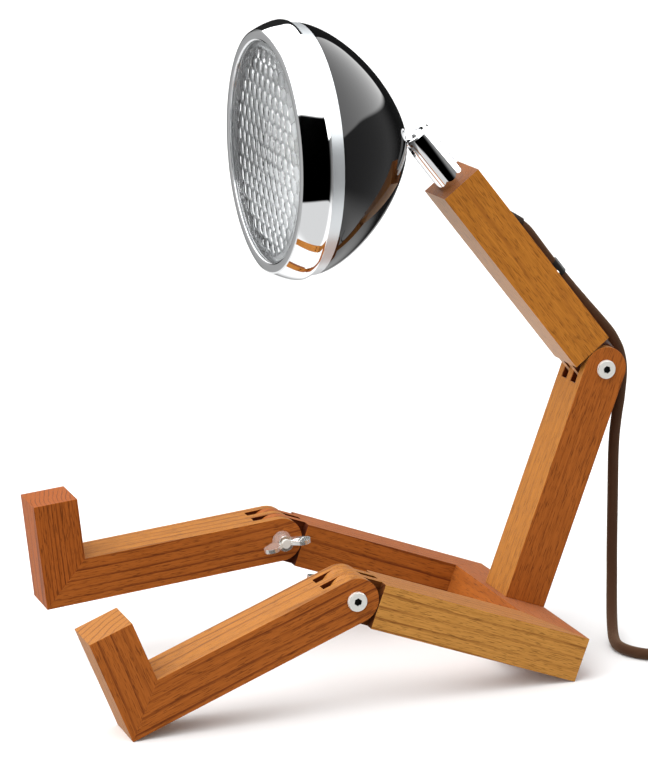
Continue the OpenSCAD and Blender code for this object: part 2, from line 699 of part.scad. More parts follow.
module lamp_holder() color("white") at_head() translate([0, 0, neck_z - holder_l]) difference() {
    cylinder(h = holder_l - 0.5, d = holder_d, $fn = 64);
    for (k = [-1, 1]) translate([0, k * 3, holder_l - 9]) cylinder(h = 10, d = 2.4, $fn = 24);
}

module bulb() color([0.95, 0.95, 0.9]) at_head() translate([0, 0, neck_z - 0.5]) {
    for (k = [-1, 1]) translate([0, k * 3, -7]) cylinder(h = 8, d = 2.2, $fn = 24);
    cylinder(h = bulb_l - bulb_d / 2, d = bulb_d, $fn = 64);
    translate([0, 0, bulb_l - bulb_d / 2]) sphere(d = bulb_d, $fn = 64);
}

module head_lead() color("dimgray") at_ball() rotate([0, -90, 0]) translate([0, 0, lead_gap])
    cylinder(h = ring_reach + neck_z - holder_l - lead_gap, d = lead_d, $fn = 32);

// ---------------------------------------------------------------- cord

module upper_lead() color("dimgray") at_upper() translate([0, 0, upper_l - nipple_in - 1.4])
    cylinder(h = nipple_in + 1.4 + ball_h - lead_gap, d = lead_d, $fn = 32);

// A rubber sleeve lines the hole and tapers outside it.
module cord_sleeve() color([0.12, 0.08, 0.05]) at_upper() at_cord_hole() difference() {
    union() {
        translate([0, 0, -18]) cylinder(h = 18, d = sleeve_d, $fn = 48);
        cylinder(h = sleeve_out, d1 = sleeve_d, d2 = cord_d + 1, $fn = 48);
    }
    translate([0, 0, -19]) cylinder(h = 20 + sleeve_out, d = cord_d + 0.1, $fn = 48);
}

module cord_clip() color([0.15, 0.13, 0.12]) at_upper() translate([knuckle_r, 0, clip_at - clip_w / 2])
    difference() {
        linear_extrude(clip_w) difference() {
            union() {
                translate([clip_cord_z, 0]) circle(clip_in_r + clip_t);
                translate([0, -clip_in_r - clip_t]) square([clip_cord_z, 2 * (clip_in_r + clip_t)]);
                translate([0, -clip_in_r - clip_t - clip_foot]) square([clip_t, 2 * (clip_in_r + clip_t + clip_foot)]);
            }
            translate([clip_cord_z, 0]) circle(clip_in_r);
            translate([-cut, -clip_in_r]) square([clip_cord_z + cut, 2 * clip_in_r]);
        }
        for (k = [-1, 1]) translate([-cut, k * clip_screw_y, clip_w / 2])
            rotate([0, 90, 0]) cylinder(h = clip_t + 2 * cut, d = clip_screw_d, $fn = 24);
    }

module clip_screws() color("silver") at_upper() at_clip_screws() {
    translate([0, 0, clip_t]) cylinder(h = 1.3, d1 = 4.4, d2 = 3, $fn = 32);
    translate([0, 0, 1 - clip_screw_l]) cylinder(h = clip_screw_l - 1 + clip_t, d = clip_screw_d, $fn = 24);
}

// A round tube swept along a route; n is a direction square to its start.
module tube(p, n, sides = 10) {
    t = tangents(p);
    u = carried(t, n);
    m = len(p);
    points = [
        for (i = [0 : m - 1]) for (k = [0 : sides - 1])
            p[i] + cord_d / 2 * (cos(360 * k / sides) * u[i] + sin(360 * k / sides) * cross(t[i], u[i]))
    ];
    side_faces = [
        for (i = [0 : m - 2]) for (k = [0 : sides - 1]) let (j = (k + 1) % sides)
            [i * sides + k, (i + 1) * sides + k, (i + 1) * sides + j, i * sides + j]
    ];
    start_cap = [[for (k = [0 : sides - 1]) k]];
    end_cap = [[for (k = [sides - 1 : -1 : 0]) (m - 1) * sides + k]];
    color([0.3, 0.17, 0.09]) polyhedron(points, concat(side_faces, start_cap, end_cap));
}

module cord_along_beam() tube([for (q = beam_route) from_beam(q)], [0, 1, 0]);
module cord_at_waist() tube(concat([for (q = waist_route) from_beam(q)], under_waist_route), [0, 1, 0]);
module cord_drop() tube(drop_route, [0, 1, 0]);
module cord_tail() tube(tail_route, [0, 0, 1]);
module cord_to_plug() tube(plug_route, unit([1, 0.03, 0]));

module cord_coil() color([0.3, 0.17, 0.09]) translate(coil_at) rotate_extrude($fn = 96) {
    ease = cord_d / 2;
    polygon([
        [coil_inner_r, 1.5], [coil_inner_r + 1.5, 0], [coil_outer_r - 1.5, 0], [coil_outer_r, 1.5],
        [coil_outer_r, cord_d - 1], [coil_outer_r - ease, coil_h], [coil_inner_r + ease, coil_h],
        [coil_inner_r, cord_d - 1]
    ]);
}

// ---------------------------------------------------------------- plug and switch on the cord

// The plug: its strain relief starts at the origin, and the pins point along +X.
module at_plug() translate(plug_at) rotate([0, 0, 180]) children();

module plug() color([0.13, 0.08, 0.05]) at_plug() {
    rotate([0, 90, 0]) cylinder(h = relief_l, d1 = cord_d + 1, d2 = cord_d + 4, $fn = 48);
    translate([relief_l, 0, -plug_h / 2]) linear_extrude(plug_h)
        polygon([
            [-0.5, -cord_d], [-0.5, cord_d], [plug_l / 3, plug_w / 2], [plug_l, plug_w / 2],
            [plug_l, -plug_w / 2], [plug_l / 3, -plug_w / 2]
        ]);
}

module plug_pins() color("silver") at_plug()
    for (k = [-1, 1]) translate([relief_l + plug_l, k * pin_pitch / 2, 0]) rotate([0, 90, 0]) {
        cylinder(h = pin_l - 1.5, d = pin_d, $fn = 32);
        translate([0, 0, pin_l - 1.5]) cylinder(h = 1.5, d1 = pin_d, d2 = pin_d - 1.6, $fn = 32);
    }

// The switch: the cord runs along X, and the base stands on z = 0.
module at_switch() translate(switch_at) rotate([0, 0, switch_turn]) children();

module switch_outline(inset = 0) {
    l = switch_l / 2 - inset;
    w = switch_w / 2 - inset;
    shoulder_x = rocker_l / 2 + 8;
    polygon([
        [-l, -w / 2], [-shoulder_x, -w], [shoulder_x, -w], [l, -w / 2],
        [l, w / 2], [shoulder_x, w], [-shoulder_x, w], [-l, w / 2]
    ]);
}

module switch_cord_holes()
    translate([0, 0, switch_cord_z]) rotate([0, 90, 0])
        cylinder(h = switch_l + 2 * cut, d = cord_d + 0.2, center = true, $fn = 48);

module at_switch_screws() for (k = [-1, 1]) translate([k * (rocker_l / 2 + 5), -k * (switch_w / 2 - 5), 0]) children();

module switch_base() color([0.13, 0.08, 0.05]) at_switch() difference() {
    linear_extrude(switch_split) switch_outline();
    translate([0, 0, switch_wall]) linear_extrude(switch_h) intersection() {
        switch_outline(switch_wall);
        square([rocker_l + 6, switch_w - 4 * switch_wall - 6], center = true);
    }
    switch_cord_holes();
    at_switch_screws() {
        translate([0, 0, -cut]) cylinder(h = switch_h, d = 2.6, $fn = 24);
        translate([0, 0, -cut]) cylinder(h = 3 + cut, d = 5, $fn = 32);
    }
}

rocker_pivot_z = switch_h - 6;
rocker_pin_d = 2.5;

module switch_cover() color([0.13, 0.08, 0.05]) at_switch() difference() {
    union() {
        translate([0, 0, switch_split]) linear_extrude(switch_h - switch_split - 1.5) switch_outline();
        translate([0, 0, switch_h - 1.5]) linear_extrude(1.5) switch_outline(1.5);
    }
    translate([0, 0, switch_h / 2])
        cube([rocker_l + 2 * rocker_gap, rocker_w + 0.6, 2 * switch_h], center = true);
    translate([0, 0, rocker_pivot_z]) rotate([90, 0, 0])
        cylinder(h = rocker_w + 5, d = rocker_pin_d + 2 * run_gap, center = true, $fn = 32);
    switch_cord_holes();
    at_switch_screws() cylinder(h = switch_h - 4, d = 2.6, $fn = 24);
}

module switch_rocker() color([0.13, 0.08, 0.05]) at_switch() translate([0, 0, rocker_pivot_z]) {
    rotate([90, 0, 0]) cylinder(h = rocker_w + 4, d = rocker_pin_d, center = true, $fn = 32);
    rotate([90, 0, 0]) linear_extrude(rocker_w, center = true)
        polygon([
            [-rocker_l / 2 + 1, -3], [rocker_l / 2 - 1, -3], [rocker_l / 2, 0], [rocker_l / 2 - 0.8, 8],
            [0, 6.9], [0.8 - rocker_l / 2, 6.2], [-rocker_l / 2, 0]
        ]);
}

module switch_screws() color("silver") at_switch() at_switch_screws() {
    translate([0, 0, 1.2]) cylinder(h = 1.8, d = 4.6, $fn = 32);
    translate([0, 0, 3]) cylinder(h = switch_h - 8, d = 2.6, $fn = 24);
}

// ---------------------------------------------------------------- nodes

hip_crosspiece();
thigh(left);  // thigh_left
thigh(right);  // thigh_right
torso();
upper_beam();
shin(left, left_bend);  // shin_left
foot(left, left_bend);  // foot_left
shin(right, right_bend);  // shin_right
foot(right, right_bend);  // foot_right
hip_dowels();
heel_dowels(left, left_bend);  // heel_dowels_left
heel_dowels(right, right_bend);  // heel_dowels_right
torso_screws();
screw_plugs();
into_knee(left, left_bend) connector_bolt();  // knee_bolt_left
into_knee(left, left_bend) limb_washer();  // knee_washer_left
into_knee(left, left_bend) wing_nut(35);  // wing_nut_left
into_knee(right, right_bend) connector_bolt();  // knee_bolt_right
into_knee(right, right_bend) limb_washer();  // knee_washer_right
into_knee(right, right_bend) wing_nut(4);  // wing_nut_right
into_waist() connector_bolt();  // waist_bolt
into_waist() limb_washer();  // waist_washer
into_waist() wing_nut(70);  // waist_wing_nut
neck_nipple();
nipple_nut();
neck_barrel();
barrel_foot();
disc_springs();
ball_seat();
ball_stem();
stem_washer();
stem_nut();
head_shell();
trim_band();
front_rim();
rim_screw();
lens();
lens_gasket();
lens_clips();
reflector();
holder_cup();
lamp_holder();
bulb();
cord_sleeve();
cord_clip();
clip_screws();
upper_lead();
head_lead();
cord_along_beam();
cord_at_waist();
cord_drop();
cord_tail();
cord_coil();
cord_to_plug();
plug();
plug_pins();
switch_base();
switch_cover();
switch_rocker();
switch_screws();
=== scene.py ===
# %% [markdown]
# # A seated wooden figure with a spotlight for a head
# This lesson dresses a jointed desk lamp. Its frame comes from the CAD model: every limb, bolt and ring
# already has its true size and place, and moves with a named body. Here each piece gets its finish, and the
# pieces that people look at, such as the bright rim, the glass and the cord, get a finer mesh in the same
# place. Everything is in metres, +Z is up and the figure faces -X.

# %% Load the frame
import json
import math

import bmesh
import bpy
import numpy as np
from mathutils import Matrix, Vector


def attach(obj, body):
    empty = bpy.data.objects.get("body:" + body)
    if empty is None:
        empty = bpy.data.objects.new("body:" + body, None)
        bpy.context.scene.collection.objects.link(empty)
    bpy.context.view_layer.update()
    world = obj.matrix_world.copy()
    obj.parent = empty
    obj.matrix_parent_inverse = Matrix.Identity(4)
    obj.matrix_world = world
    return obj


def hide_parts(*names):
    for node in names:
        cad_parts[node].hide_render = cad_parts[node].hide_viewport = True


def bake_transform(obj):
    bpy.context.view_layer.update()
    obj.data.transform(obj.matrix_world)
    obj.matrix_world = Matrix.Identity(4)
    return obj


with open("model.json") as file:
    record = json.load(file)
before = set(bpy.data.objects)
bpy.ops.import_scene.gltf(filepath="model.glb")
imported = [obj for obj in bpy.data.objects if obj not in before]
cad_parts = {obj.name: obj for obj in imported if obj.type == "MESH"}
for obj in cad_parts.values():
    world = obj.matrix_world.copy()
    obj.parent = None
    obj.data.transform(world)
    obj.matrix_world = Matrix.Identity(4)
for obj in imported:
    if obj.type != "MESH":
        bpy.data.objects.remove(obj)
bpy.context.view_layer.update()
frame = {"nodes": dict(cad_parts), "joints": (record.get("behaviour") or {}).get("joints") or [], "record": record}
MM = 0.001

# %% [markdown]
# ## The camera
# A long lens looks from the left of the figure, a little from the front and from above. A camera is easiest
# to aim with three unit vectors: where its right side, its top and its back point. They are the columns of
# its matrix.

# %% Camera
CAMERA_AT = Vector((-0.6157, -1.7683, 0.6248))
CAMERA_RIGHT = Vector((0.944, -0.3294, -0.0218)).normalized()
CAMERA_BACK = Vector((-0.3158, -0.9203, 0.2311)).normalized()
LENS_MM = 146.54
SENSOR_MM = 36
SEES_AS_FAR_AS = 50

camera = bpy.data.objects.new("camera", bpy.data.cameras.new("camera"))
bpy.context.scene.collection.objects.link(camera)
up = CAMERA_BACK.cross(CAMERA_RIGHT).normalized()
turn = Matrix((up.cross(CAMERA_BACK), up, CAMERA_BACK)).transposed()
camera.matrix_world = Matrix.Translation(CAMERA_AT) @ turn.to_4x4()
camera.data.lens = LENS_MM
camera.data.sensor_width = SENSOR_MM
camera.data.clip_end = SEES_AS_FAR_AS
bpy.context.scene.camera = camera
print(f"camera {CAMERA_AT.length:.2f} m away")

# %% [markdown]
# ## Small tools for meshes
# Most new pieces are either swept along a route or turned on a lathe. Both are rings of points joined by
# quads, so one function joins rings, and the others say where the rings are.

# %% Join rings of points into a mesh
def add_object(name, mesh, body, material=None):
    """A finished piece that rides on a body and takes the finish it is given."""
    piece = bpy.data.objects.new(name, mesh)
    bpy.context.scene.collection.objects.link(piece)
    if body:
        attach(piece, body)
    if material:
        mesh.materials.append(material)
    return piece


def ring_mesh(name, rings, closed_loop=False, uv=None):
    """Joins rings, which are lists of points of one length. A loop joins the last ring to the first too."""
    count, size = len(rings), len(rings[0])
    faces = []
    uvs = []
    for i in range(count if closed_loop else count - 1):
        for k in range(size):
            j, n = (k + 1) % size, (i + 1) % count
            faces.append((i * size + k, n * size + k, n * size + j, i * size + j))
            if uv:
                uvs += [uv(i, k), uv(i + 1, k), uv(i + 1, k + 1), uv(i, k + 1)]
    if not closed_loop:
        for ends in (range(size), range(count * size - 1, (count - 1) * size - 1, -1)):
            faces.append(tuple(ends))
            uvs += [(0, 0)] * size
    mesh = bpy.data.meshes.new(name)
    mesh.from_pydata([tuple(p) for ring in rings for p in ring], [], faces)
    if uv:
        layer = mesh.uv_layers.new(name="UVMap")
        layer.data.foreach_set("uv", [c for pair in uvs for c in pair])
    return mesh


def smooth(mesh, degrees=30):
    """Smooth shading, but for the edges that are sharper than the angle."""
    mesh.shade_smooth()
    mesh.set_sharp_from_angle(angle=math.radians(degrees))
    return mesh


# %% [markdown]
# ## The cord
# A table lamp's cord is a braided textile tube, 7 mm thick. It leaves a slanted hole in the back of the upper
# beam, runs under a clip, makes a soft bow round the waist and hangs to the table, where it runs into its
# switch. Behind the lamp the rest of it is wound up, and ends in the plug. The route is a list of points, a
# smooth curve goes through them, and a ring of points is carried along that curve.

# %% Routes of the cord
CORD_D = 7 * MM
BEAM_HALF = 14 * MM
joint = {j["name"]: j for j in frame["joints"]}
waist = Vector(joint["waist"]["pos_m"])
beam_up = Vector(joint["neck_swivel"]["axis"]).normalized()
beam_back = Vector((beam_up.z, 0, -beam_up.x))

# Distance up the beam from the waist pin, and height over its back face, in millimetres.
ALONG_BEAM = [
    (112, 0), (108, 1.8), (103, 3.4), (98, 4.1), (92, 4.1), (84, 3.9), (76, 3.8), (67, 3.8), (56, 4),
    (46, 4.4), (36, 4.9), (26.9, 5.405), (22, 5.68), (17, 5.9), (12, 6.1), (8, 6), (4, 5.5), (0, 4.8),
    (-4, 3.8),
]
# Points of the hanging part and of the rest, in millimetres of the lamp's own frame.
HANGING = [
    (190.2, 0, 178), (190.8, 0, 172), (190.4, 0, 164), (189, 0, 152), (187, 0, 140), (185.6, 0, 128),
    (184.9, 0, 115), (184.6, 0, 98), (184.3, 0, 80), (184, 0, 62), (183.6, -0.6, 50), (182.6, -2.8, 38.4),
    (180.6, -7, 27.6), (177.8, -13.2, 18), (174.6, -21, 10.6), (171.4, -29.8, 5.6), (169.1, -39, 3.8),
    (168.6, -47.6, 3.7), (170.6, -56, 3.7), (174.9, -63.4, 3.7), (180.9, -69, 3.8), (187.6, -73.7, 4.6),
    (194.2, -78.3, 6.2), (200.7, -82.9, 7), (207.2, -87.5, 7),
]
TO_COIL = [
    (247.9, -116, 7), (254.8, -120.8, 7), (262, -125, 5.9), (270.5, -128, 4.3), (280, -129, 3.7),
    (290, -127.2, 3.7), (299.5, -122.2, 3.7), (307.8, -114.5, 3.7), (314.3, -105.2, 3.7), (319.8, -95.3, 3.7),
]
TO_PLUG = [
    (340.2, -48, 10), (341, -40, 10.7), (341.4, -32, 10.8), (341.6, -24, 9.8), (341.6, -15, 7.3),
    (341.2, -5, 4.9), (338.6, 6, 3.8), (332.2, 15.6, 4.1), (323.2, 21.7, 5.5), (312.5, 24, 7), (308, 24, 7.2),
]


def from_beam(up_mm, off_mm):
    return waist + beam_up * up_mm * MM + beam_back * (BEAM_HALF + off_mm * MM)


switch_route = [from_beam(*p) for p in ALONG_BEAM] + [Vector(p) * MM for p in HANGING]
print(len(switch_route), "points to the switch")

# %% Turns of the coil
COIL_AT = Vector((294, -48, 0)) * MM
OFF_TABLE = 0.2 * MM
LYING_Z = CORD_D / 2 + OFF_TABLE
COIL_STARTS = -50  # degrees, seen from above
# Radius of the turn at an angle travelled since the start. Between two angles the cord steps over smoothly.
RADII = [
    (0, 49), (270, 49), (360, 42), (630, 42), (720, 35), (900, 35), (990, 38.5), (1200, 38.5),
    (1290, 45.5), (1480, 45.5),
]
COIL_POINTS = 148


def eased(t):
    t = min(1, max(0, t))
    return t * t * (3 - 2 * t)


def turn_radius(angle):
    for (a, r_a), (b, r_b) in zip(RADII, RADII[1:]):
        if angle <= b:
            return (r_a + (r_b - r_a) * eased((angle - a) / (b - a))) * MM
    return RADII[-1][1] * MM


def turn_height(angle):
    """The cord lies on the table, or in the groove between the turns that were laid before it."""
    z, under = LYING_Z, angle - 360
    while under >= 0:
        apart = abs(turn_radius(angle) - turn_radius(under))
        if apart < CORD_D:
            z = max(z, turn_height(under) + math.sqrt(CORD_D**2 - apart**2))
        under -= 360
    return z


coil = []
for i in range(COIL_POINTS + 1):
    travelled = RADII[-1][0] * i / COIL_POINTS
    a, r = math.radians(COIL_STARTS + travelled), turn_radius(travelled)
    coil.append(COIL_AT + Vector((r * math.cos(a), r * math.sin(a), turn_height(travelled))))
plug_route = [Vector(p) * MM for p in TO_COIL] + coil + [Vector(p) * MM for p in TO_PLUG]
print(len(plug_route), "points to the plug")

# %% Sweep a tube along a route
SIDES = 20
RING_SPACING = 2.5 * MM
CURVE_STEPS = 24  # between two points of a route


def smooth_route(points):
    """Points at an even spacing on a Catmull-Rom curve through the given ones."""
    p = np.array([tuple(q) for q in points])
    ends = (2 * p[:1] - p[1:2], 2 * p[-1:] - p[-2:-1])
    p = np.concatenate([ends[0], p, ends[1]])
    t = np.linspace(0, 1, CURVE_STEPS, endpoint=False)[:, None]
    fine = []
    for a, b, c, d in zip(p, p[1:], p[2:], p[3:]):
        square, cubic = 2 * a - 5 * b + 4 * c - d, 3 * b - a - 3 * c + d
        fine.append(0.5 * (2 * b + (c - a) * t + square * t**2 + cubic * t**3))
    fine = np.concatenate(fine + [p[-2:-1]])
    far = np.concatenate([[0], np.cumsum(np.linalg.norm(np.diff(fine, axis=0), axis=1))])
    even = np.linspace(0, far[-1], max(2, round(far[-1] / RING_SPACING)) + 1)
    return np.stack([np.interp(even, far, fine[:, k]) for k in range(3)], axis=1), far[-1]


def tube(name, line, diameter, first_side):
    """A tube round a line, with its UVs once round and in metres along."""
    line = [Vector(p) for p in line]
    ahead = [(line[min(i + 1, len(line) - 1)] - line[max(i - 1, 0)]).normalized() for i in range(len(line))]
    side = Vector(first_side)
    rings, along = [], [0.0]
    for i, (p, t) in enumerate(zip(line, ahead)):
        side = (side - t * side.dot(t)).normalized()
        other = t.cross(side)
        angles = [2 * math.pi * k / SIDES for k in range(SIDES)]
        rings.append([p + diameter / 2 * (math.cos(a) * side + math.sin(a) * other) for a in angles])
        along.append(along[-1] + (line[min(i + 1, len(line) - 1)] - p).length)
    mesh = ring_mesh(name, rings, uv=lambda i, k: (k / SIDES, along[i]))
    return smooth(mesh, 60)


switch_line, switch_length = smooth_route(switch_route)
plug_line, plug_length = smooth_route(plug_route)
lamp_tube = tube("lamp_cord", switch_line, CORD_D, first_side=(0, 1, 0))
mains_tube = tube("mains_cord", plug_line, CORD_D, first_side=(0, 0, 1))
cord_to_switch = add_object("lamp_cord", lamp_tube, None)
cord_to_plug = add_object("mains_cord", mains_tube, "root")
cord_to_plug.visible_glossy = False
print(f"cords {switch_length:.3f} m and {plug_length:.3f} m")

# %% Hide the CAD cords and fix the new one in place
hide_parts("cord_along_beam", "cord_at_waist", "cord_drop")
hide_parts("cord_tail", "cord_coil", "cord_to_plug")
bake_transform(cord_to_switch)
nodes = frame["nodes"]

# %% [markdown]
# ## The room
# The lamp stands on a pale floor. Polished metal looks like what is round it, so the room matters as much as
# the metal. Gloss sees one broad light overhead, whose lower edge rises and falls round the lamp, a white
# cloth under and behind it, a glow on the left, and darkness behind the camera. Light Path lets the gloss see
# that contrast while the wood gets a softer light from above and from the left, and the camera sees plain
# white. Left and right are those of the camera.

# %% Nodes in few words
def add_node(tree, kind, inputs=None, **settings):
    """Adds a node, and links or sets its inputs."""
    node = tree.nodes.new(kind)
    for key, value in settings.items():
        setattr(node, key, value)
    for name, value in (inputs or {}).items():
        socket = node.inputs[name]
        if isinstance(value, bpy.types.NodeSocket):
            tree.links.new(value, socket)
        else:
            socket.default_value = value
    return node


def shader(tree, kind, inputs=None, **settings):
    return add_node(tree, "ShaderNode" + kind, inputs, **settings)


def math_node(tree, operation, first, second=0.0, *more):
    """Joins numbers by one operation. Where there are more than two, it takes the next one each time."""
    joined = shader(tree, "Math", {0: first, 1: second}, operation=operation).outputs[0]
    for number in more:
        joined = shader(tree, "Math", {0: joined, 1: number}, operation=operation).outputs[0]
    return joined


def step(tree, value, low, high, at_low=0.0, at_high=1.0):
    """Goes smoothly from one number to another while the value goes from low to high."""
    inputs = {"Value": value, "From Min": low, "From Max": high, "To Min": at_low, "To Max": at_high}
    return shader(tree, "MapRange", inputs, interpolation_type="SMOOTHSTEP").outputs[0]


def mix(tree, factor, a, b, blend="MIX"):
    node = shader(tree, "Mix", {"Factor": factor}, data_type="RGBA", blend_type=blend)
    for socket, value in ((node.inputs[6], a), (node.inputs[7], b)):
        if isinstance(value, bpy.types.NodeSocket):
            tree.links.new(value, socket)
        else:
            socket.default_value = (*value, 1)
    return node.outputs[2]


def new_material(name, color, roughness, **inputs):
    """A Principled material with plain values on its own sockets."""
    material = bpy.data.materials.new(name)
    material.use_nodes = True
    material.diffuse_color = (*color, 1)
    surface = material.node_tree.nodes["Principled BSDF"]
    surface.inputs["Base Color"].default_value = (*color, 1)
    surface.inputs["Roughness"].default_value = roughness
    for key, value in inputs.items():
        surface.inputs[key.replace("_", " ")].default_value = value
    return material, material.node_tree, surface


# %% Floor
FLOOR_HALF = 12
FLOOR_SEEN, FLOOR_BOUNCE = (0.93, 0.93, 0.93), (0.45, 0.45, 0.45)


def add_stage(name, mesh):
    thing = bpy.data.objects.new(name, mesh)
    bpy.context.scene.collection.objects.link(thing)
    return thing


floor_mesh = bpy.data.meshes.new("floor")
corners = [(x * FLOOR_HALF, y * FLOOR_HALF, 0) for x, y in ((-1, -1), (1, -1), (1, 1), (-1, 1))]
floor_mesh.from_pydata(corners, [], [(0, 1, 2, 3)])
floor = add_stage("floor", floor_mesh)
floor.visible_glossy = False
floor_finish, floor_tree, paint = new_material("pale_floor", FLOOR_SEEN, 0.9, Specular_IOR_Level=0.1)
bounce = shader(floor_tree, "LightPath").outputs["Is Diffuse Ray"]
floor_tree.links.new(mix(floor_tree, bounce, FLOOR_SEEN, FLOOR_BOUNCE), paint.inputs["Base Color"])
floor_mesh.materials.append(floor_finish)
print("floor", 2 * FLOOR_HALF, "m wide")

# %% Directions in the room
world = bpy.data.worlds.new("studio")
bpy.context.scene.world = world
world.use_nodes = True
sky = world.node_tree
sky.nodes.clear()
look = shader(sky, "TexCoord").outputs["Generated"]
axes = shader(sky, "SeparateXYZ", {0: look})
left_to_right, height = axes.outputs["X"], axes.outputs["Z"]
flat_look = shader(sky, "VectorMath", {0: look, 1: (1, 1, 0)}, operation="MULTIPLY").outputs["Vector"]
flat_look = shader(sky, "VectorMath", {0: flat_look}, operation="NORMALIZE").outputs["Vector"]
flat_back = Vector((CAMERA_BACK.x, CAMERA_BACK.y, 0)).normalized()
flat_right = Vector((-flat_back.y, flat_back.x, 0))


def alignment(seen, way):
    """1 straight along the way, 0 across it and -1 straight against it."""
    return shader(sky, "VectorMath", {0: seen, 1: way}, operation="DOT_PRODUCT").outputs["Value"]


# The first two leave out the height: towards the camera, and to its right. The third looks the camera's way.
toward, rightward = alignment(flat_look, flat_back), alignment(flat_look, flat_right)
straight_on = alignment(look, -CAMERA_BACK)
print("the camera looks", round(math.degrees(math.asin(CAMERA_BACK.z))), "degrees down")

# %% What the gloss sees overhead
# A height is the sine of the angle over the horizon. A pair says where a part begins and where it is whole.
LIGHT_GLOSS, LIGHT_FADE = 2.8, (-0.02, 0.03)
EDGE_FAR, EDGE_BESIDE, EDGE_WAY = 0.095, 0.25, (-1.1, -0.1)
NEAR_RISE, NEAR_WAY = 0.325, (0.74, 0.92)
FAR_RISE, FAR_WAY = 0.4, (-0.92, -0.98)
RIGHT_RISE, RIGHT_WAY, RIGHT_SIDE = 0.2, (-0.86, -0.93), (0.05, 0.2)
right_rise = step(sky, toward, *RIGHT_WAY, 0.0, RIGHT_RISE)
light_edge = math_node(
    sky, "ADD",
    step(sky, toward, *EDGE_WAY, EDGE_FAR, EDGE_BESIDE),
    step(sky, toward, *NEAR_WAY, 0.0, NEAR_RISE),
    step(sky, toward, *FAR_WAY, 0.0, FAR_RISE),
    math_node(sky, "MULTIPLY", step(sky, rightward, *RIGHT_SIDE), right_rise),
)
broad_light = step(sky, math_node(sky, "SUBTRACT", height, light_edge), *LIGHT_FADE, 0.0, LIGHT_GLOSS)
print("the broad light starts", round(math.degrees(math.asin(EDGE_BESIDE))), "degrees up beside the lamp")

# %% What the gloss sees below and on the left
CLOTH_FAINT, CLOTH_BRIGHT, CLOTH_NEAR = 0.27, 1.3, 0.78
DARKNESS_FAR, GLOW_LEFT = 0.92, 0.5
cloth_side = step(sky, height, -0.4, -0.7, CLOTH_FAINT, CLOTH_BRIGHT)
cloth_near = step(sky, height, -0.58, -0.61, 0.0, CLOTH_NEAR)
near = step(sky, toward, 0.5, 0.8)
cloth = shader(sky, "Mix", {0: near, 2: cloth_side, 3: cloth_near}).outputs[0]
# Far from the camera the upper part of the cloth is nearly dark.
far = step(sky, toward, -0.6, -0.85, 0.0, DARKNESS_FAR)
dark_far = math_node(sky, "MULTIPLY", far, step(sky, height, -0.5, -0.38))
cloth = math_node(sky, "MULTIPLY", cloth, math_node(sky, "SUBTRACT", 1.0, dark_far))
# On the left a glow at any height, and a piece of cloth that lies low and away from the camera.
left_glow = math_node(
    sky, "MULTIPLY", step(sky, left_to_right, -0.1, -0.4, 0.0, GLOW_LEFT), step(sky, toward, 0.6, 0.2)
)
left_cloth = math_node(
    sky, "MULTIPLY",
    step(sky, left_to_right, 0.1, -0.08), step(sky, height, -0.28, -0.36), step(sky, toward, -0.1, -0.5),
)
# A round patch of cloth straight behind the lamp, cut off at the top.
back_cloth = math_node(sky, "MULTIPLY", step(sky, straight_on, 0.962, 0.985), step(sky, height, -0.23, -0.3))
gloss = math_node(sky, "MAXIMUM", broad_light, cloth, left_glow, left_cloth, back_cloth)
print("the world has", len(sky.nodes), "nodes for gloss")

# %% What the rest sees
TOP_LIGHT, LEFT_LIGHT, ROOM_LIGHT = 0.76, 2.0, 0.38
LEFT_WAY = (-0.76, 0, 0.65)
soft_top = step(sky, height, 0.08, 0.5, ROOM_LIGHT, TOP_LIGHT)
soft_left = step(sky, alignment(look, LEFT_WAY), 0.35, 0.9, 0.0, LEFT_LIGHT)
soft = math_node(sky, "ADD", soft_top, soft_left)
rays = shader(sky, "LightPath")
strength = shader(sky, "Mix", {0: rays.outputs["Is Glossy Ray"], 2: soft, 3: gloss}).outputs[0]
light = shader(sky, "Background", {"Color": (1, 1, 1, 1), "Strength": strength})
plain = shader(sky, "Background", {"Color": (1, 1, 1, 1), "Strength": 1.0})
both = shader(sky, "MixShader", {0: rays.outputs["Is Camera Ray"], 1: light.outputs[0], 2: plain.outputs[0]})
shader(sky, "OutputWorld", {"Surface": both.outputs[0]})


def area_light(name, place, target, size, watts):
    data = bpy.data.lights.new(name, "AREA")
    data.shape = "RECTANGLE"
    data.size, data.size_y = size
    data.energy = watts
    lamp = add_stage(name, data)
    lamp.location = place
    lamp.rotation_mode = "QUATERNION"
    lamp.rotation_quaternion = (Vector(target) - Vector(place)).to_track_quat("-Z", "Y")
    lamp.visible_glossy = False
    return lamp


area_light("overhead", place=(-0.25, -0.3, 1.6), target=(0, 0, 0.15), size=(0.9, 0.9), watts=3)
bpy.context.scene.view_settings.view_transform = "Standard"
print("room and light made")

# %% [markdown]
# ## Wood
# The limbs are cut from an open-pored, reddish brown hardwood. A board's figure is a slice through growth
# rings, so the material draws rings round an axis beside the limb and bends them a little. Fine fibres and
# short dark pores run along the grain. Each limb carries its own grain direction as an attribute, because the
# limbs point in different directions.

# %% A group for wood figure
def new_group(name, inputs, outputs):
    """A shader node group with named sockets: {name: (type, value)} for inputs."""
    group = bpy.data.node_groups.new(name, "ShaderNodeTree")
    for key, (kind, value) in inputs.items():
        socket = group.interface.new_socket(key, in_out="INPUT", socket_type=kind)
        if value is not None:
            socket.default_value = value
    for key, kind in outputs.items():
        group.interface.new_socket(key, in_out="OUTPUT", socket_type=kind)
    return group, group.nodes.new("NodeGroupInput"), group.nodes.new("NodeGroupOutput")


def scaled(tree, vector, factors):
    return shader(tree, "VectorMath", {0: vector, 1: factors}, operation="MULTIPLY").outputs["Vector"]


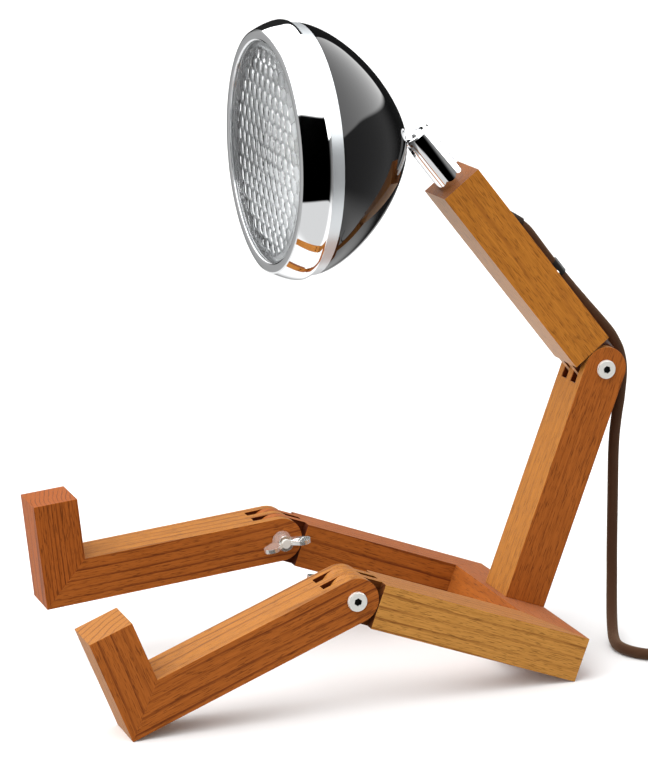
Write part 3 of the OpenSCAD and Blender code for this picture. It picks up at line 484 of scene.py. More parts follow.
def noise(tree, vector, per_metre, detail=2.0, roughness=0.5):
    place = scaled(tree, vector, per_metre)
    inputs = {"Vector": place, "Scale": 1.0, "Detail": detail, "Roughness": roughness}
    return shader(tree, "TexNoise", inputs).outputs["Fac"]


# How fine each pattern is, per metre along the grain and both ways across it.
BENDS, SMALL_BENDS, PATCHES = (4, 26, 26), (11, 170, 170), (9, 60, 60)
FIBRES, PORES = (45, 1100, 1100), (150, 1900, 1900)
# How far the bends move a ring, in widths of a ring.
BEND, SMALL_BEND = 2.2, 0.22

wood_group, given, result = new_group(
    "wood_figure",
    {
        "Grain": ("NodeSocketVector", None),
        "Ring Width": ("NodeSocketFloat", 0.0034),
        "Pore Amount": ("NodeSocketFloat", 0.5),
    },
    {"Rings": "NodeSocketFloat", "Fibre": "NodeSocketFloat", "Pores": "NodeSocketFloat"},
)
w = wood_group
grain = given.outputs["Grain"]
parts = shader(w, "SeparateXYZ", {0: grain})
squares = [math_node(w, "POWER", parts.outputs[k], 2) for k in ("Y", "Z")]
radius = math_node(w, "SQRT", math_node(w, "ADD", *squares))
ring_count = math_node(w, "DIVIDE", radius, given.outputs["Ring Width"])
bent = math_node(
    w, "ADD", ring_count,
    math_node(w, "MULTIPLY", noise(w, grain, BENDS, 2), BEND),
    math_node(w, "MULTIPLY", noise(w, grain, SMALL_BENDS, 2), SMALL_BEND),
)
# Each ring darkens slowly towards its end and ends sharply, and fades in patches.
saw = math_node(w, "FRACT", bent)
patches = step(w, noise(w, grain, PATCHES, 2), 0.3, 0.65, 0.25, 1.0)
rings = math_node(w, "MULTIPLY", step(w, saw, 0.66, 0.93), step(w, saw, 1.0, 0.94), patches)
fibre = noise(w, grain, FIBRES, 4, 0.7)
pores = math_node(w, "MULTIPLY", step(w, noise(w, grain, PORES, 1), 0.56, 0.68), given.outputs["Pore Amount"])
for key, value in (("Rings", rings), ("Fibre", fibre), ("Pores", pores)):
    w.links.new(value, result.inputs[key])
print("wood figure group with", len(w.nodes), "nodes")

# %% The wood finish
def ramp(tree, value, stops):
    node = shader(tree, "ValToRGB", {"Fac": value})
    for i, (place, color) in enumerate(stops):
        stop = node.color_ramp.elements[i] if i < 2 else node.color_ramp.elements.new(place)
        stop.position = place
        stop.color = (*color, 1)
    return node.outputs["Color"]


def bump(tree, surface, height, strength, distance):
    node = shader(tree, "Bump", {"Height": height, "Strength": strength, "Distance": distance})
    tree.links.new(node.outputs["Normal"], surface.inputs["Normal"])


# The first tint darkens the faces in the finger slots as painted shade; the second is the darker end grain.
SLOT_PAINTED_SHADE, END_TINT = (0.2, 0.12, 0.08), (0.5, 0.42, 0.36)


def wood_material(name, light_wood, dark_wood, ring_width, ring_amount, painted_face_tint, varnish=0.0):
    """Wood with dark lines where the year rings end. End grain is dark, slots get painted shade, and marked faces
    get painted light or shade.
    """
    material, tree, surface = new_material(
        name, light_wood, 0.5, Specular_IOR_Level=0.1, Coat_Weight=varnish, Coat_Roughness=0.16,
        Sheen_Weight=0.1 + 0.3 * varnish, Sheen_Roughness=0.3,
    )
    coords = shader(tree, "Attribute", attribute_name="grain").outputs["Vector"]
    figure = tree.nodes.new("ShaderNodeGroup")
    figure.node_tree = wood_group
    tree.links.new(coords, figure.inputs["Grain"])
    figure.inputs["Ring Width"].default_value = ring_width
    figure.inputs["Pore Amount"].default_value = 0.55
    ring_tone = math_node(tree, "MULTIPLY", figure.outputs["Rings"], ring_amount)
    color = mix(tree, ring_tone, light_wood, dark_wood)
    fibre_tint = ramp(tree, figure.outputs["Fibre"], [(0.32, (0.8, 0.76, 0.68)), (0.68, (1.12, 1.15, 1.2))])
    color = mix(tree, 1.0, color, fibre_tint, "MULTIPLY")
    color = mix(tree, figure.outputs["Pores"], color, tuple(c * 0.45 for c in dark_wood))
    face = shader(tree, "SeparateXYZ", {0: shader(tree, "Attribute", attribute_name="cut").outputs["Vector"]})
    # Painted light and shade: the marked faces that don't look left or right are tinted paler or darker.
    color = mix(tree, face.outputs["Y"], color, painted_face_tint, "MULTIPLY")
    # Painted shade: the faces in the finger slots are darkened.
    color = mix(tree, face.outputs["X"], color, SLOT_PAINTED_SHADE, "MULTIPLY")
    color = mix(tree, face.outputs["Z"], color, END_TINT, "MULTIPLY")
    tree.links.new(color, surface.inputs["Base Color"])
    if varnish:
        tree.links.new(step(tree, face.outputs["Z"], 0.0, 1.0, varnish, 0.0), surface.inputs["Coat Weight"])
    rough = step(tree, figure.outputs["Fibre"], 0.3, 0.7, 0.42, 0.6)
    tree.links.new(rough, surface.inputs["Roughness"])
    fibre_height = math_node(tree, "MULTIPLY", figure.outputs["Fibre"], 0.4)
    depth = math_node(tree, "SUBTRACT", fibre_height, figure.outputs["Pores"])
    bump(tree, surface, depth, 0.4, 0.0002)
    return material


RUSSET, RUSSET_RING, PAINTED_FACE_LIGHT = (0.4, 0.11, 0.0165), (0.16, 0.034, 0.006), (1.08, 1.5, 1.7)
# The painted face tints: a paler one on the honey upper beam's fronts is a painted reflection, a darker one on the
# amber thigh's top is painted shade, and the russet one is painted light.
honey_wood = wood_material(
    "honey_wood", (0.53, 0.188, 0.019), (0.3, 0.088, 0.01), 5 * MM, 0.45, (1.5, 1.8, 2.6), varnish=1.0
)
amber_wood = wood_material(
    "amber_wood", (0.56, 0.255, 0.055), (0.25, 0.085, 0.016), 5 * MM, 0.9, (0.8, 0.68, 0.62)
)
russet_wood = wood_material("russet_wood", RUSSET, RUSSET_RING, 5.5 * MM, 0.95, PAINTED_FACE_LIGHT)
plain_russet = wood_material("plain_russet_wood", RUSSET, RUSSET_RING, 4.5 * MM, 0.3, PAINTED_FACE_LIGHT)
striped_russet = wood_material(
    "striped_russet_wood", (0.37, 0.094, 0.013), (0.09, 0.018, 0.004), 2.8 * MM, 0.9, PAINTED_FACE_LIGHT
)
print("five wood finishes")

# %% [markdown]
# ## Limbs with soft edges
# A sanded edge catches a thin line of light, and a sharp CAD edge doesn't. A copy of each limb is merged into
# clean faces, and its outward edges are rounded by the Bevel modifier, which reads a weight on each edge. The
# grain attribute is worked out in the same loop from the direction that the limb runs in.

# %% Round the outward edges of a CAD copy
EDGE_ROUND = 0.7 * MM
ALMOST_FLAT = math.radians(0.05)


def merged_copy(node_name, new_name):
    """A copy of a CAD node's mesh, with its loose triangles joined and flat faces made whole."""
    mesh = nodes[node_name].data.copy()
    mesh.name = new_name
    mesh.materials.clear()
    b = bmesh.new()
    b.from_mesh(mesh)
    bmesh.ops.remove_doubles(b, verts=b.verts, dist=1e-6)
    flat = [e for e in b.edges if e.is_manifold and e.calc_face_angle() < ALMOST_FLAT]
    bmesh.ops.dissolve_edges(b, edges=flat, use_verts=False, use_face_split=False)
    straight = [v for v in b.verts if len(v.link_edges) == 2 and v.calc_edge_angle(0) < ALMOST_FLAT]
    bmesh.ops.dissolve_verts(b, verts=straight)
    b.to_mesh(mesh)
    b.free()
    return mesh


def round_edges(mesh, width, sharper_than=35):
    """Rounds the outward edges that are sharper than an angle. Faces beside them keep their own shading."""
    b = bmesh.new()
    b.from_mesh(mesh)
    weight = b.edges.layers.float.new("bevel_weight_edge")
    for edge in b.edges:
        if edge.is_manifold and edge.calc_face_angle_signed(0) > math.radians(sharper_than):
            edge[weight] = 1.0
    b.to_mesh(mesh)
    b.free()
    smooth(mesh, 30)
    holder = bpy.data.objects.new("holder", mesh)
    bpy.context.scene.collection.objects.link(holder)
    modifier = holder.modifiers.new("edges", "BEVEL")
    modifier.harden_normals = True
    modifier.width = width
    modifier.segments = 3
    modifier.limit_method = "WEIGHT"
    modifier.use_clamp_overlap = True
    modifier.miter_outer = "MITER_ARC"
    done = bpy.data.meshes.new_from_object(holder.evaluated_get(bpy.context.evaluated_depsgraph_get()))
    done.name = mesh.name
    bpy.data.objects.remove(holder)
    return done


HIP_PITCH = math.radians(21)
hip_back = Vector((math.cos(HIP_PITCH), 0, -math.sin(HIP_PITCH)))
hip_up = Vector((math.sin(HIP_PITCH), 0, math.cos(HIP_PITCH)))


def bent_back(bend_degrees):
    a = HIP_PITCH - math.radians(bend_degrees)
    return Vector((math.cos(a), 0, -math.sin(a)))


across = Vector((0, 1, 0))
LEFT_BEND, RIGHT_BEND = -joint["left_knee"]["range_deg"][0], -joint["right_knee"]["range_deg"][0]
left_back, right_back = bent_back(LEFT_BEND), bent_back(RIGHT_BEND)
# The direction of the grain, the middle of the rings beside the limb (in metres across it), and the finish.
LIMBS = {
    "hip_crosspiece": (across, (0.05, 0.03), plain_russet),
    "thigh_left": (hip_back, (0.06, 0.045), amber_wood),
    "thigh_right": (hip_back, (0.055, -0.05), russet_wood),
    "torso": (hip_up, (0.05, 0.06), plain_russet),
    "upper_beam": (beam_up, (0.075, 0.03), honey_wood),
    "shin_left": (left_back, (0.05, 0.07), russet_wood),
    "foot_left": (left_back.cross(across), (0.06, 0.04), russet_wood),
    "shin_right": (right_back, (0.045, -0.06), russet_wood),
    "foot_right": (right_back.cross(across), (0.02, 0.09), striped_russet),
}
body_of_node = {n: b for b, ns in frame["record"]["behaviour"]["bodies"].items() for n in ns}


def add_grain(mesh, along, rings_at, shift):
    """Stores, for each point, how far it lies along the grain and across it from the middle of the rings."""
    side = Vector((0, 1, 0)) if abs(along.y) < 0.5 else Vector((1, 0, 0))
    other = along.cross(side)
    middle = sum((v.co for v in mesh.vertices), Vector()) / len(mesh.vertices)
    layer = mesh.attributes.new("grain", "FLOAT_VECTOR", "POINT")
    for v, item in zip(mesh.vertices, layer.data):
        p = v.co - middle
        item.vector = (p.dot(along) + shift, p.dot(side) + rings_at[0], p.dot(other) + rings_at[1])


# The faces of these limbs that don't look left or right get painted light or shade: a paler or darker tint.
LIMBS_WITH_PAINTED_LIGHT = ("torso", "shin_left", "shin_right", "foot_left", "thigh_left", "upper_beam")


def mark_faces(mesh, along, paints_face_light, dark_end):
    """Marks the finger slots for painted shade, the faces for painted light or shade, and dark end grain."""
    axes = np.array([along, across, along.cross(across)])
    at = np.array([v.co for v in mesh.vertices]) @ axes.T
    low, high = at.min(axis=0) + MM, at.max(axis=0) - MM
    layer = mesh.attributes.new("cut", "FLOAT_VECTOR", "FACE")
    for face, item in zip(mesh.polygons, layer.data):
        c, n = axes @ np.array(face.center), np.abs(axes @ np.array(face.normal))
        in_slot_shade = any(n[k] > 0.95 and low[k] < c[k] < high[k] for k in (0, 1))
        end_grain = dark_end and n[0] > 0.9 and c[0] > high[0]
        painted_light_face = paints_face_light and not in_slot_shade and not end_grain and n[1] < 0.5
        item.vector = (float(in_slot_shade), float(painted_light_face), float(end_grain))


GRAIN_SHIFT = 0.7  # metres along the grain from one limb's figure to the next, so that no two are alike
for number, (name, (along, rings_at, finish)) in enumerate(LIMBS.items()):
    limb_mesh = round_edges(merged_copy(name, "wooden_" + name), EDGE_ROUND)
    add_grain(limb_mesh, along, rings_at, GRAIN_SHIFT * number)
    length_way = hip_back if name == "hip_crosspiece" else along
    mark_faces(limb_mesh, length_way, name in LIMBS_WITH_PAINTED_LIGHT, name == "upper_beam")
    limb = add_object("wooden_" + name, limb_mesh, body_of_node[name], finish)
    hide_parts(name)
    print(limb.name, len(limb_mesh.polygons), "faces")

# %% [markdown]
# ## Metals, paint, rubber and plastic
# Plain finishes need only a few numbers: polished chrome is a smooth metal, the gloss black shell is a dark
# base under a clear coat, and nickel is a metal that is a little rough. The reflector gets painted shade towards
# its rim, and the pressed glass painted shade along the borders of its cells.

# %% Plain finishes
def plain_finish(name, color, roughness, **inputs):
    return new_material(name, color, roughness, **inputs)[0]


chrome = plain_finish("chrome", (0.86, 0.87, 0.88), 0.03, Metallic=1.0)
nickel = plain_finish("nickel", (0.72, 0.7, 0.66), 0.24, Metallic=1.0)
satin_nickel = plain_finish("satin_nickel", (0.98, 0.97, 0.91), 0.25, Metallic=0.3)
bright_nickel = plain_finish("bright_nickel", (0.95, 0.94, 0.9), 0.14, Metallic=0.8)
# A near-black finish for the inside of the bolt sockets, painted shade.
painted_socket_shade = plain_finish("painted_socket_shade", (0.03, 0.03, 0.028), 0.3, Metallic=0.8)
satin_chrome = plain_finish("satin_chrome", (0.68, 0.71, 0.73), 0.3, Metallic=0.6)
brass = plain_finish("brass", (0.78, 0.57, 0.25), 0.25, Metallic=1.0)
black_gloss = plain_finish(
    "black_gloss", (0.004, 0.004, 0.0045), 0.3, Coat_Weight=1.0, Coat_Roughness=0.02, Specular_IOR_Level=0.0
)
dark_metal = plain_finish("dark_bronze", (0.014, 0.012, 0.01), 0.18, Specular_IOR_Level=0.35)
rubber = plain_finish("rubber", (0.025, 0.014, 0.009), 0.65, Specular_IOR_Level=0.1)
grey_seal = plain_finish("grey_seal", (0.42, 0.43, 0.44), 0.45)
nylon = plain_finish("nylon", (0.8, 0.78, 0.72), 0.45)
ceramic = plain_finish("ceramic", (0.85, 0.84, 0.8), 0.15)
brown_plastic = plain_finish("brown_plastic", (0.05, 0.026, 0.016), 0.32)
lead_jacket = plain_finish("lead_jacket", (0.22, 0.22, 0.23), 0.5)
bulb_glass = plain_finish("frosted_glass", (0.96, 0.96, 0.94), 0.35, Transmission_Weight=0.2, IOR=1.45)
beech = plain_finish("beech", (0.62, 0.42, 0.24), 0.6)
print("plain finishes ready")

# %% Reflector and pressed glass
ball = Vector(joint["head_tilt"]["pos_m"])


def reflector_material():
    """Almost white near the bulb, with painted shade that darkens it towards the rim, where it is more of a
    mirror.
    """
    material, tree, surface = new_material("aluminium_painted_shade", (0.9, 0.9, 0.91), 0.45, Metallic=0.7)
    place = shader(tree, "TexCoord").outputs["Object"]
    place = shader(tree, "VectorMath", {0: place, 1: ball}, operation="SUBTRACT").outputs["Vector"]
    place = scaled(tree, place, (0, 1, 1))
    from_axis = shader(tree, "VectorMath", {0: place}, operation="LENGTH").outputs["Value"]
    # Painted shade: the tone darkens from the bulb towards the rim.
    outward = step(tree, from_axis, 20 * MM, 75 * MM)
    tone = ramp(tree, outward, [(0, (1.0, 1.0, 1.0)), (1, (0.3, 0.31, 0.32))])
    tree.links.new(tone, surface.inputs["Base Color"])
    tree.links.new(step(tree, from_axis, 25 * MM, 60 * MM, 0.1, 0.8), surface.inputs["Metallic"])
    return material


def lens_material():
    """Clear glass with painted shade, dark along the borders of its cells."""
    clear = (0.97, 0.985, 0.99)
    material, tree, surface = new_material("pressed_glass", clear, 0.02, Transmission_Weight=1.0)
    border = shader(tree, "Attribute", attribute_name="border_mm").outputs["Fac"]
    # Painted shade: the glass is tinted dark along the borders of its cells.
    tone = ramp(tree, step(tree, border, 0.15, 0.5), [(0, (0.03, 0.033, 0.036)), (1, clear)])
    tree.links.new(tone, surface.inputs["Base Color"])
    return material


aluminium_painted_shade, lens_glass = reflector_material(), lens_material()
print("reflector and glass finishes ready")

# %% Finishes on the CAD nodes
BY_SLOT = {
    "wood": honey_wood, "dowel_wood": beech, "steel": nickel, "brass": brass, "plug_metal": nickel,
    "chrome": chrome, "black_paint": black_gloss, "glass": lens_glass, "reflector_metal": aluminium_painted_shade,
    "lens_seal": grey_seal, "seal_rubber": rubber, "nylon": nylon, "ceramic": ceramic, "bulb": bulb_glass,
    "dark_metal": dark_metal, "lead_insulation": lead_jacket, "brown_plastic": brown_plastic,
}
slot_of = {s["node"]: s["material_slot"] for s in frame["record"]["subparts"]}
for name, node in nodes.items():
    if slot_of[name] in BY_SLOT:
        node.data.materials.clear()
        node.data.materials.append(BY_SLOT[slot_of[name]])
nodes["trim_band"].data.materials[0] = satin_chrome
print(len(BY_SLOT), "finishes on the CAD nodes")

# %% [markdown]
# ## The textile of the cord
# Two sets of threads run round the cord in opposite directions and cross over each other. With the UVs once
# round and in metres along, two diagonal waves give the threads, and the higher of the two is what shows.

# %% Braid
THREADS_ROUND = 10
THREADS_PER_METRE = 420


def braid_material():
    material, tree, surface = new_material(
        "braided_textile", (0.06, 0.026, 0.013), 0.7, Specular_IOR_Level=0.15,
        Sheen_Weight=0.3, Sheen_Tint=(0.9, 0.6, 0.35, 1), Sheen_Roughness=0.35,
    )
    uv = shader(tree, "UVMap", uv_map="UVMap").outputs["UV"]
    parts = shader(tree, "SeparateXYZ", {0: uv})
    round_it = math_node(tree, "MULTIPLY", parts.outputs["X"], THREADS_ROUND)
    along_it = math_node(tree, "MULTIPLY", parts.outputs["Y"], THREADS_PER_METRE)
    waves = []
    for sign in ("ADD", "SUBTRACT"):
        phase = math_node(tree, sign, round_it, along_it)
        wave = math_node(tree, "SINE", math_node(tree, "MULTIPLY", phase, 2 * math.pi))
        waves.append(math_node(tree, "ABSOLUTE", wave))
    height = math_node(tree, "MAXIMUM", waves[0], waves[1])
    # Painted shade: the threads are darker where they dip between each other and lighter on their crests.
    color = ramp(tree, height, [(0.55, (0.022, 0.009, 0.004)), (1.0, (0.09, 0.038, 0.017))])
    tree.links.new(color, surface.inputs["Base Color"])
    bump(tree, surface, height, 0.6, 0.0005)
    return material


braid = braid_material()
for cord in (cord_to_switch, cord_to_plug):
    cord.data.materials.append(braid)
for name, node in nodes.items():
    if slot_of[name] == "cord_textile":
        node.data.materials.clear()
        node.data.materials.append(braid)
print("braid on both cords")

# %% [markdown]
# ## The turned parts of the head
# Shell, band, rim and reflector of such a head are sheet metal that is spun round one axis. The shell and
# the rim show most, so each is made again from a closed outline in radius and distance along the axis. The
# corners of the rim are rounded first, as a spinner's tool leaves them.

# %% A lathe
RING_REACH = 85.4  # mm from the ball of the neck to the widest ring
TURNED_STEPS = 192
MOST_CUT = 0.45  # of a side of the outline
NEARLY_STRAIGHT = math.radians(85)


def rounded(outline, radius):
    """Rounds each corner of a closed outline. A point may have its own radius as a third number."""
    points = []
    n = len(outline)
    for i, p in enumerate(outline):
        corner = np.array(p[:2], float)
        before, after = np.array(outline[i - 1][:2], float), np.array(outline[(i + 1) % n][:2], float)
        r = p[2] if len(p) > 2 else radius
        a, b = before - corner, after - corner
        la, lb = np.linalg.norm(a), np.linalg.norm(b)
        half = math.acos(max(-1, min(1, (a @ b) / (la * lb)))) / 2
        cut = min(r / math.tan(half), MOST_CUT * la, MOST_CUT * lb) if half > 1e-6 else 0
        if r <= 0 or half > NEARLY_STRAIGHT:
            points.append(tuple(corner))
            continue
        start, end = corner + a / la * cut, corner + b / lb * cut
        for t in (0, 0.25, 0.5, 0.75, 1):
            points.append(tuple((1 - t) ** 2 * start + 2 * t * (1 - t) * corner + t**2 * end))
    return points


def turned(name, outline, body, material, place):
    """Spins an outline of (radius, height) in millimetres. place puts a point, in metres, into the lamp."""
    rings = []
    for k in range(TURNED_STEPS):
        a = 2 * math.pi * k / TURNED_STEPS
        rings.append([place(Vector((r * math.cos(a), r * math.sin(a), z)) * MM) for r, z in outline])
    mesh = ring_mesh(name, rings, closed_loop=True)
    b = bmesh.new()
    b.from_mesh(mesh)
    bmesh.ops.remove_doubles(b, verts=b.verts, dist=1e-7)
    bmesh.ops.recalc_face_normals(b, faces=b.faces)
    b.to_mesh(mesh)
    b.free()
    smooth(mesh)
    return add_object(name, mesh, body, material)


def in_head(p):
    """From the head's own frame, whose +Z runs forwards from the widest ring."""
    return ball + Vector((-p.z - RING_REACH * MM, p.y, p.x))


# %% Rim, band and shell
RING_R, BAND_R, SHELL_R = 78.5, 76.8, 76.0
BEVEL_L, BEVEL_IN, LIP_W, SHEET = 14.8, 5.4, 6.3, 0.8
HEM, BAND_L, SHELL_DEPTH, SHELL_T = 2, 7.8, 65.4, 1
BAND_END = -HEM - BAND_L
LIP_Z = BEVEL_L + SHEET / 2
FRONT_R = RING_R - BEVEL_IN
OPENING_R = FRONT_R - LIP_W
LIP_TURN = 1.2
HEM_R = BAND_R + 0.05


def bevel_curve(r, z0, z1, steps=14):
    """From the widest ring to the lip, turning inwards more and more."""
    return [(r - BEVEL_IN * (i / steps) ** 1.5, z0 + (z1 - z0) * i / steps, 0) for i in range(steps + 1)]


rim_outline = (
    [(HEM_R, -HEM, 0.2), (RING_R - 0.3, -HEM, 0.3)]
    + bevel_curve(RING_R, 0, BEVEL_L)
    + [(FRONT_R - 1, LIP_Z, 0.6), (OPENING_R + 1, LIP_Z, 0.6)]
    + [(OPENING_R, LIP_Z - 0.4, 0.3), (OPENING_R, LIP_Z - LIP_TURN, 0.1)]
    + bevel_curve(RING_R - SHEET, -0.2, BEVEL_L - SHEET)[::-1]
    + [(HEM_R, -SHEET, 0.1)]
)
rim = turned("bright_rim", rounded(rim_outline, 0.3), "head", chrome, in_head)
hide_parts("front_rim")
print("rim", len(rim.data.polygons), "faces")

SHELL_POWER, STEM_HOLE_R = 1.5, 3.1


def dome(r, depth, steps=48):
    """A superellipse from the widest ring to the hole for the stem. A power of 2 would be an ellipse."""
    e = 2 / SHELL_POWER
    last = math.acos((STEM_HOLE_R / r) ** (1 / e))
    return [
        (r * math.cos(last * i / steps) ** e, BAND_END - depth * math.sin(last * i / steps) ** e, 0)
        for i in range(steps + 1)
    ]


COLLAR_INSET = 2
COLLAR_END = BAND_END + BAND_L - COLLAR_INSET
COLLAR_R = SHELL_R - SHEET
shell_outline = (
    [(COLLAR_R, COLLAR_END, 0), (COLLAR_R, BAND_END, 0)]
    + dome(SHELL_R, SHELL_DEPTH)
    + dome(COLLAR_R - SHELL_T, SHELL_DEPTH - SHELL_T)[::-1]
    + [(COLLAR_R - SHELL_T, COLLAR_END, 0)]
)
shell = turned("painted_shell", rounded(shell_outline, 0), "head", black_gloss, in_head)
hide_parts("head_shell")
print("shell", len(shell.data.polygons), "faces")

# %% [markdown]
# ## The pressed glass
# Spotlight glass is pressed with a honeycomb of small bulging cells that spread the beam. Each cell bulges
# round its middle, and the middles form a lattice, so one rule gives the whole relief: at any point, take the
# distance to the border between the two nearest middles. Geometry Nodes do that on a plain dome, and its
# sizes stay inputs.

# %% A Geometry Nodes tree for the relief
def new_geometry_tree(name, inputs):
    """A Geometry Nodes tree with named inputs: {name: (type, value)}."""
    tree = bpy.data.node_groups.new(name, "GeometryNodeTree")
    tree.interface.new_socket("Geometry", in_out="INPUT", socket_type="NodeSocketGeometry")
    for key, (kind, value) in inputs.items():
        socket = tree.interface.new_socket(key, in_out="INPUT", socket_type="NodeSocket" + kind)
        if value is not None:
            socket.default_value = value
    tree.interface.new_socket("Geometry", in_out="OUTPUT", socket_type="NodeSocketGeometry")
    return tree, tree.nodes.new("NodeGroupInput"), tree.nodes.new("NodeGroupOutput")


def finish_tree(tree, geometry, material_socket, result):
    """Ends a tree in Realize Instances and Set Material."""
    real = add_node(tree, "GeometryNodeRealizeInstances", {"Geometry": geometry})
    inputs = {"Geometry": real.outputs[0], "Material": material_socket}
    painted = add_node(tree, "GeometryNodeSetMaterial", inputs)
    tree.links.new(painted.outputs[0], result.inputs["Geometry"])


def grown(name, mesh, tree, inputs):
    """Runs a tree on a mesh, and gives back the plain mesh that comes out."""
    holder = bpy.data.objects.new("holder", mesh)
    bpy.context.scene.collection.objects.link(holder)
    modifier = holder.modifiers.new("grow", "NODES")
    modifier.node_group = tree
    for item in tree.interface.items_tree:
        if item.item_type == "SOCKET" and item.in_out == "INPUT" and item.name in inputs:
            modifier[item.identifier] = inputs[item.name]
    done = bpy.data.meshes.new_from_object(holder.evaluated_get(bpy.context.evaluated_depsgraph_get()))
    done.name = name
    bpy.data.objects.remove(holder)
    return done


relief_tree, given, result = new_geometry_tree(
    "honeycomb_relief",
    {
        "Middle": ("Vector", None), "Step Across": ("Float", 9.6 * MM), "Step Down": ("Float", 8.6 * MM),
        "Slant Across": ("Float", 0.8 * MM), "Slant Down": ("Float", 4.1 * MM), "Bulge": ("Float", 0.4 * MM),
        "Rise Width": ("Float", 3.2 * MM), "Material": ("Material", None),
    },
)
t = relief_tree
place = add_node(t, "GeometryNodeInputPosition").outputs[0]
from_middle = shader(t, "VectorMath", {0: place, 1: given.outputs["Middle"]}, operation="SUBTRACT")
parts = shader(t, "SeparateXYZ", {0: from_middle.outputs["Vector"]})
right_side, down = (math_node(t, "MULTIPLY", parts.outputs[k], -1) for k in ("Y", "Z"))
across_x, across_y, down_x, down_y = (
    given.outputs[k] for k in ("Step Across", "Slant Across", "Slant Down", "Step Down")
)


def cross(tree, a, b, c, d):
    """a * d - b * c"""
    return math_node(tree, "SUBTRACT", math_node(tree, "MULTIPLY", a, d), math_node(tree, "MULTIPLY", b, c))


whole = cross(t, across_x, across_y, down_x, down_y)
u = math_node(t, "FRACT", math_node(t, "DIVIDE", cross(t, right_side, down, down_x, down_y), whole))
v = math_node(t, "FRACT", math_node(t, "DIVIDE", cross(t, across_x, across_y, right_side, down), whole))
nearest = second = 1.0
for i in (0, 1):
    for j in (0, 1):
        du, dv = math_node(t, "SUBTRACT", u, i), math_node(t, "SUBTRACT", v, j)
        x = math_node(t, "ADD", math_node(t, "MULTIPLY", du, across_x), math_node(t, "MULTIPLY", dv, down_x))
        y = math_node(t, "ADD", math_node(t, "MULTIPLY", du, across_y), math_node(t, "MULTIPLY", dv, down_y))
        apart = math_node(t, "ADD", math_node(t, "MULTIPLY", x, x), math_node(t, "MULTIPLY", y, y))
        second = math_node(t, "MINIMUM", second, math_node(t, "MAXIMUM", nearest, apart))
        nearest = math_node(t, "MINIMUM", nearest, apart)
# These are squares of distances. Their difference over twice the step is about the distance to the border.
twice_step = math_node(t, "MULTIPLY", across_x, 2)
border = math_node(t, "DIVIDE", math_node(t, "SUBTRACT", second, nearest), twice_step)
risen = math_node(t, "MINIMUM", math_node(t, "DIVIDE", border, given.outputs["Rise Width"]), 1.0)
lacking = math_node(t, "SUBTRACT", 1.0, risen)
swell = math_node(t, "SUBTRACT", 1.0, math_node(t, "MULTIPLY", lacking, lacking))
mask = add_node(t, "GeometryNodeInputNamedAttribute", {"Name": "relief"}, data_type="FLOAT").outputs[0]
lift = math_node(t, "MULTIPLY", swell, mask, given.outputs["Bulge"])
forward = shader(t, "CombineXYZ", {0: math_node(t, "MULTIPLY", lift, -1)}).outputs[0]
moved = add_node(t, "GeometryNodeSetPosition", {"Geometry": given.outputs["Geometry"], "Offset": forward})
border_mm = math_node(t, "ADD", math_node(t, "DIVIDE", border, MM), math_node(t, "SUBTRACT", 1.0, mask))
stored = add_node(
    t, "GeometryNodeStoreNamedAttribute",
    {"Geometry": moved.outputs[0], "Name": "border_mm"}, data_type="FLOAT",
)
t.links.new(border_mm, stored.inputs["Value"])
finish_tree(t, stored.outputs[0], given.outputs["Material"], result)
print("relief tree with", len(t.nodes), "nodes")

# %% Glass
GLASS_R, GLASS_Z, GLASS_T, GLASS_RISE = OPENING_R + 1.7, 9.0, 3.0, 2.0
PLAIN_EDGE, EDGE_FADE = 5.5, 1.5
DOME_STEP = 1.6  # how much further forward the dome lies than the flat back of its edge
RELIEF_SINK = 0.5  # how far the relief starts below the plain edge
POLE_R = 0.01
BACK_RINGS = 8
FRONT_RINGS, GLASS_STEPS = 100, 360


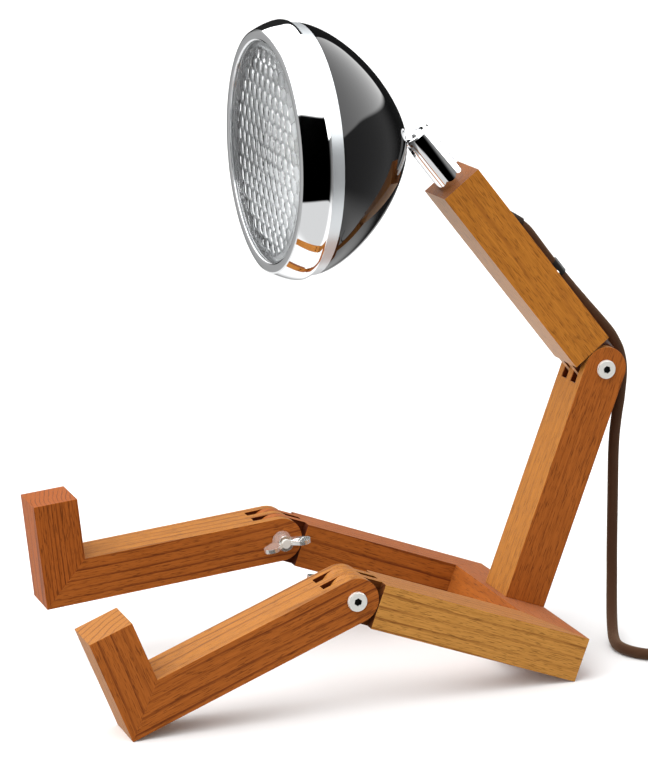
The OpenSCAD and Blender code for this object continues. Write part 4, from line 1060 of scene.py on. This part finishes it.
def plain_glass(name):
    """A dome of glass with a thick edge. An attribute says how much relief each point of its front gets."""
    rings, reliefs = [], []

    def ring(r, z, relief=0.0):
        angles = [2 * math.pi * k / GLASS_STEPS for k in range(GLASS_STEPS)]
        rings.append([in_head(Vector((r * math.cos(a), r * math.sin(a), z)) * MM) for a in angles])
        reliefs.append(relief)

    edge_z = GLASS_Z + GLASS_T + DOME_STEP
    back_r = GLASS_R - 2
    ring(back_r, GLASS_Z)
    ring(GLASS_R, GLASS_Z)
    ring(GLASS_R, edge_z - 0.5)
    ring(GLASS_R - 0.5, edge_z - 0.1)
    for i in range(FRONT_RINGS, 0, -1):
        r = (GLASS_R - 1) * i / FRONT_RINGS
        shown = eased((GLASS_R - PLAIN_EDGE - r) / EDGE_FADE)
        ring(r, edge_z + (GLASS_RISE - 0.6) * (1 - (r / GLASS_R) ** 2) - RELIEF_SINK * shown, shown)
    ring(POLE_R, edge_z + GLASS_RISE - 1.1, 1.0)
    ring(POLE_R, GLASS_Z + DOME_STEP + GLASS_RISE)
    for i in range(1, BACK_RINGS + 1):
        f = i / BACK_RINGS
        back_step = DOME_STEP if i == BACK_RINGS else 0
        ring(back_r * f, GLASS_Z + DOME_STEP + GLASS_RISE * (1 - f * f) - back_step)
    mesh = ring_mesh(name, rings, closed_loop=True)
    layer = mesh.attributes.new("relief", "FLOAT", "POINT")
    layer.data.foreach_set("value", [value for value in reliefs for _ in range(GLASS_STEPS)])
    b = bmesh.new()
    b.from_mesh(mesh)
    bmesh.ops.remove_doubles(b, verts=b.verts, dist=2e-5)
    bmesh.ops.recalc_face_normals(b, faces=b.faces)
    b.to_mesh(mesh)
    b.free()
    return mesh


relief_inputs = {"Middle": ball, "Material": lens_glass}
glass_mesh = grown("patterned_glass", plain_glass("dome"), relief_tree, relief_inputs)
glass = add_object("patterned_glass", smooth(glass_mesh, 40), "head")
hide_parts("lens")
print("glass", len(glass.data.polygons), "faces")

# %% [markdown]
# ## Softer small parts
# Turned, cast and stamped parts have small rounded edges too. The same copy-and-round step as for the limbs
# gives them to the barrel, the stem, the clip, the nuts, bolts and washers, the switch and the plug.

# %% Round the small parts
# The width of the rounded edge in millimetres, and the finish.
SOFT_PARTS = {
    "neck_barrel": (0.6, chrome), "ball_stem": (0.25, chrome), "cord_clip": (0.2, dark_metal),
    "wing_nut_left": (0.5, bright_nickel), "wing_nut_right": (0.5, bright_nickel),
    "waist_wing_nut": (0.5, bright_nickel),
    "knee_bolt_left": (0.35, satin_nickel), "knee_bolt_right": (0.35, satin_nickel),
    "waist_bolt": (0.35, satin_nickel),
    "knee_washer_left": (0.25, nickel), "knee_washer_right": (0.25, nickel), "waist_washer": (0.25, nickel),
    "switch_cover": (0.8, brown_plastic), "switch_base": (0.4, brown_plastic),
    "switch_rocker": (0.4, brown_plastic), "plug": (1.2, brown_plastic),
}
BOLT_AXES = {"knee_bolt_left": "left_knee", "knee_bolt_right": "right_knee", "waist_bolt": "waist"}
SOCKET_REACH = 2.5 * MM
for name, (width, finish) in SOFT_PARTS.items():
    part_mesh = round_edges(merged_copy(name, "soft_" + name), width * MM, sharper_than=40)
    part = add_object("soft_" + name, part_mesh, body_of_node[name], finish)
    part.visible_glossy = slot_of[name] != "brown_plastic"
    if name in BOLT_AXES:
        # The faces in the hex socket get the near-black finish, painted shade for the depth of the socket.
        part_mesh.materials.append(painted_socket_shade)
        axis = Vector(joint[BOLT_AXES[name]]["pos_m"])
        away = [v.co - axis for v in part_mesh.vertices]
        in_socket = [math.hypot(a.x, a.z) < SOCKET_REACH for a in away]
        for face in part_mesh.polygons:
            face.material_index = int(all(in_socket[i] for i in face.vertices))
    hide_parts(name)
print(len(SOFT_PARTS), "parts with soft edges")
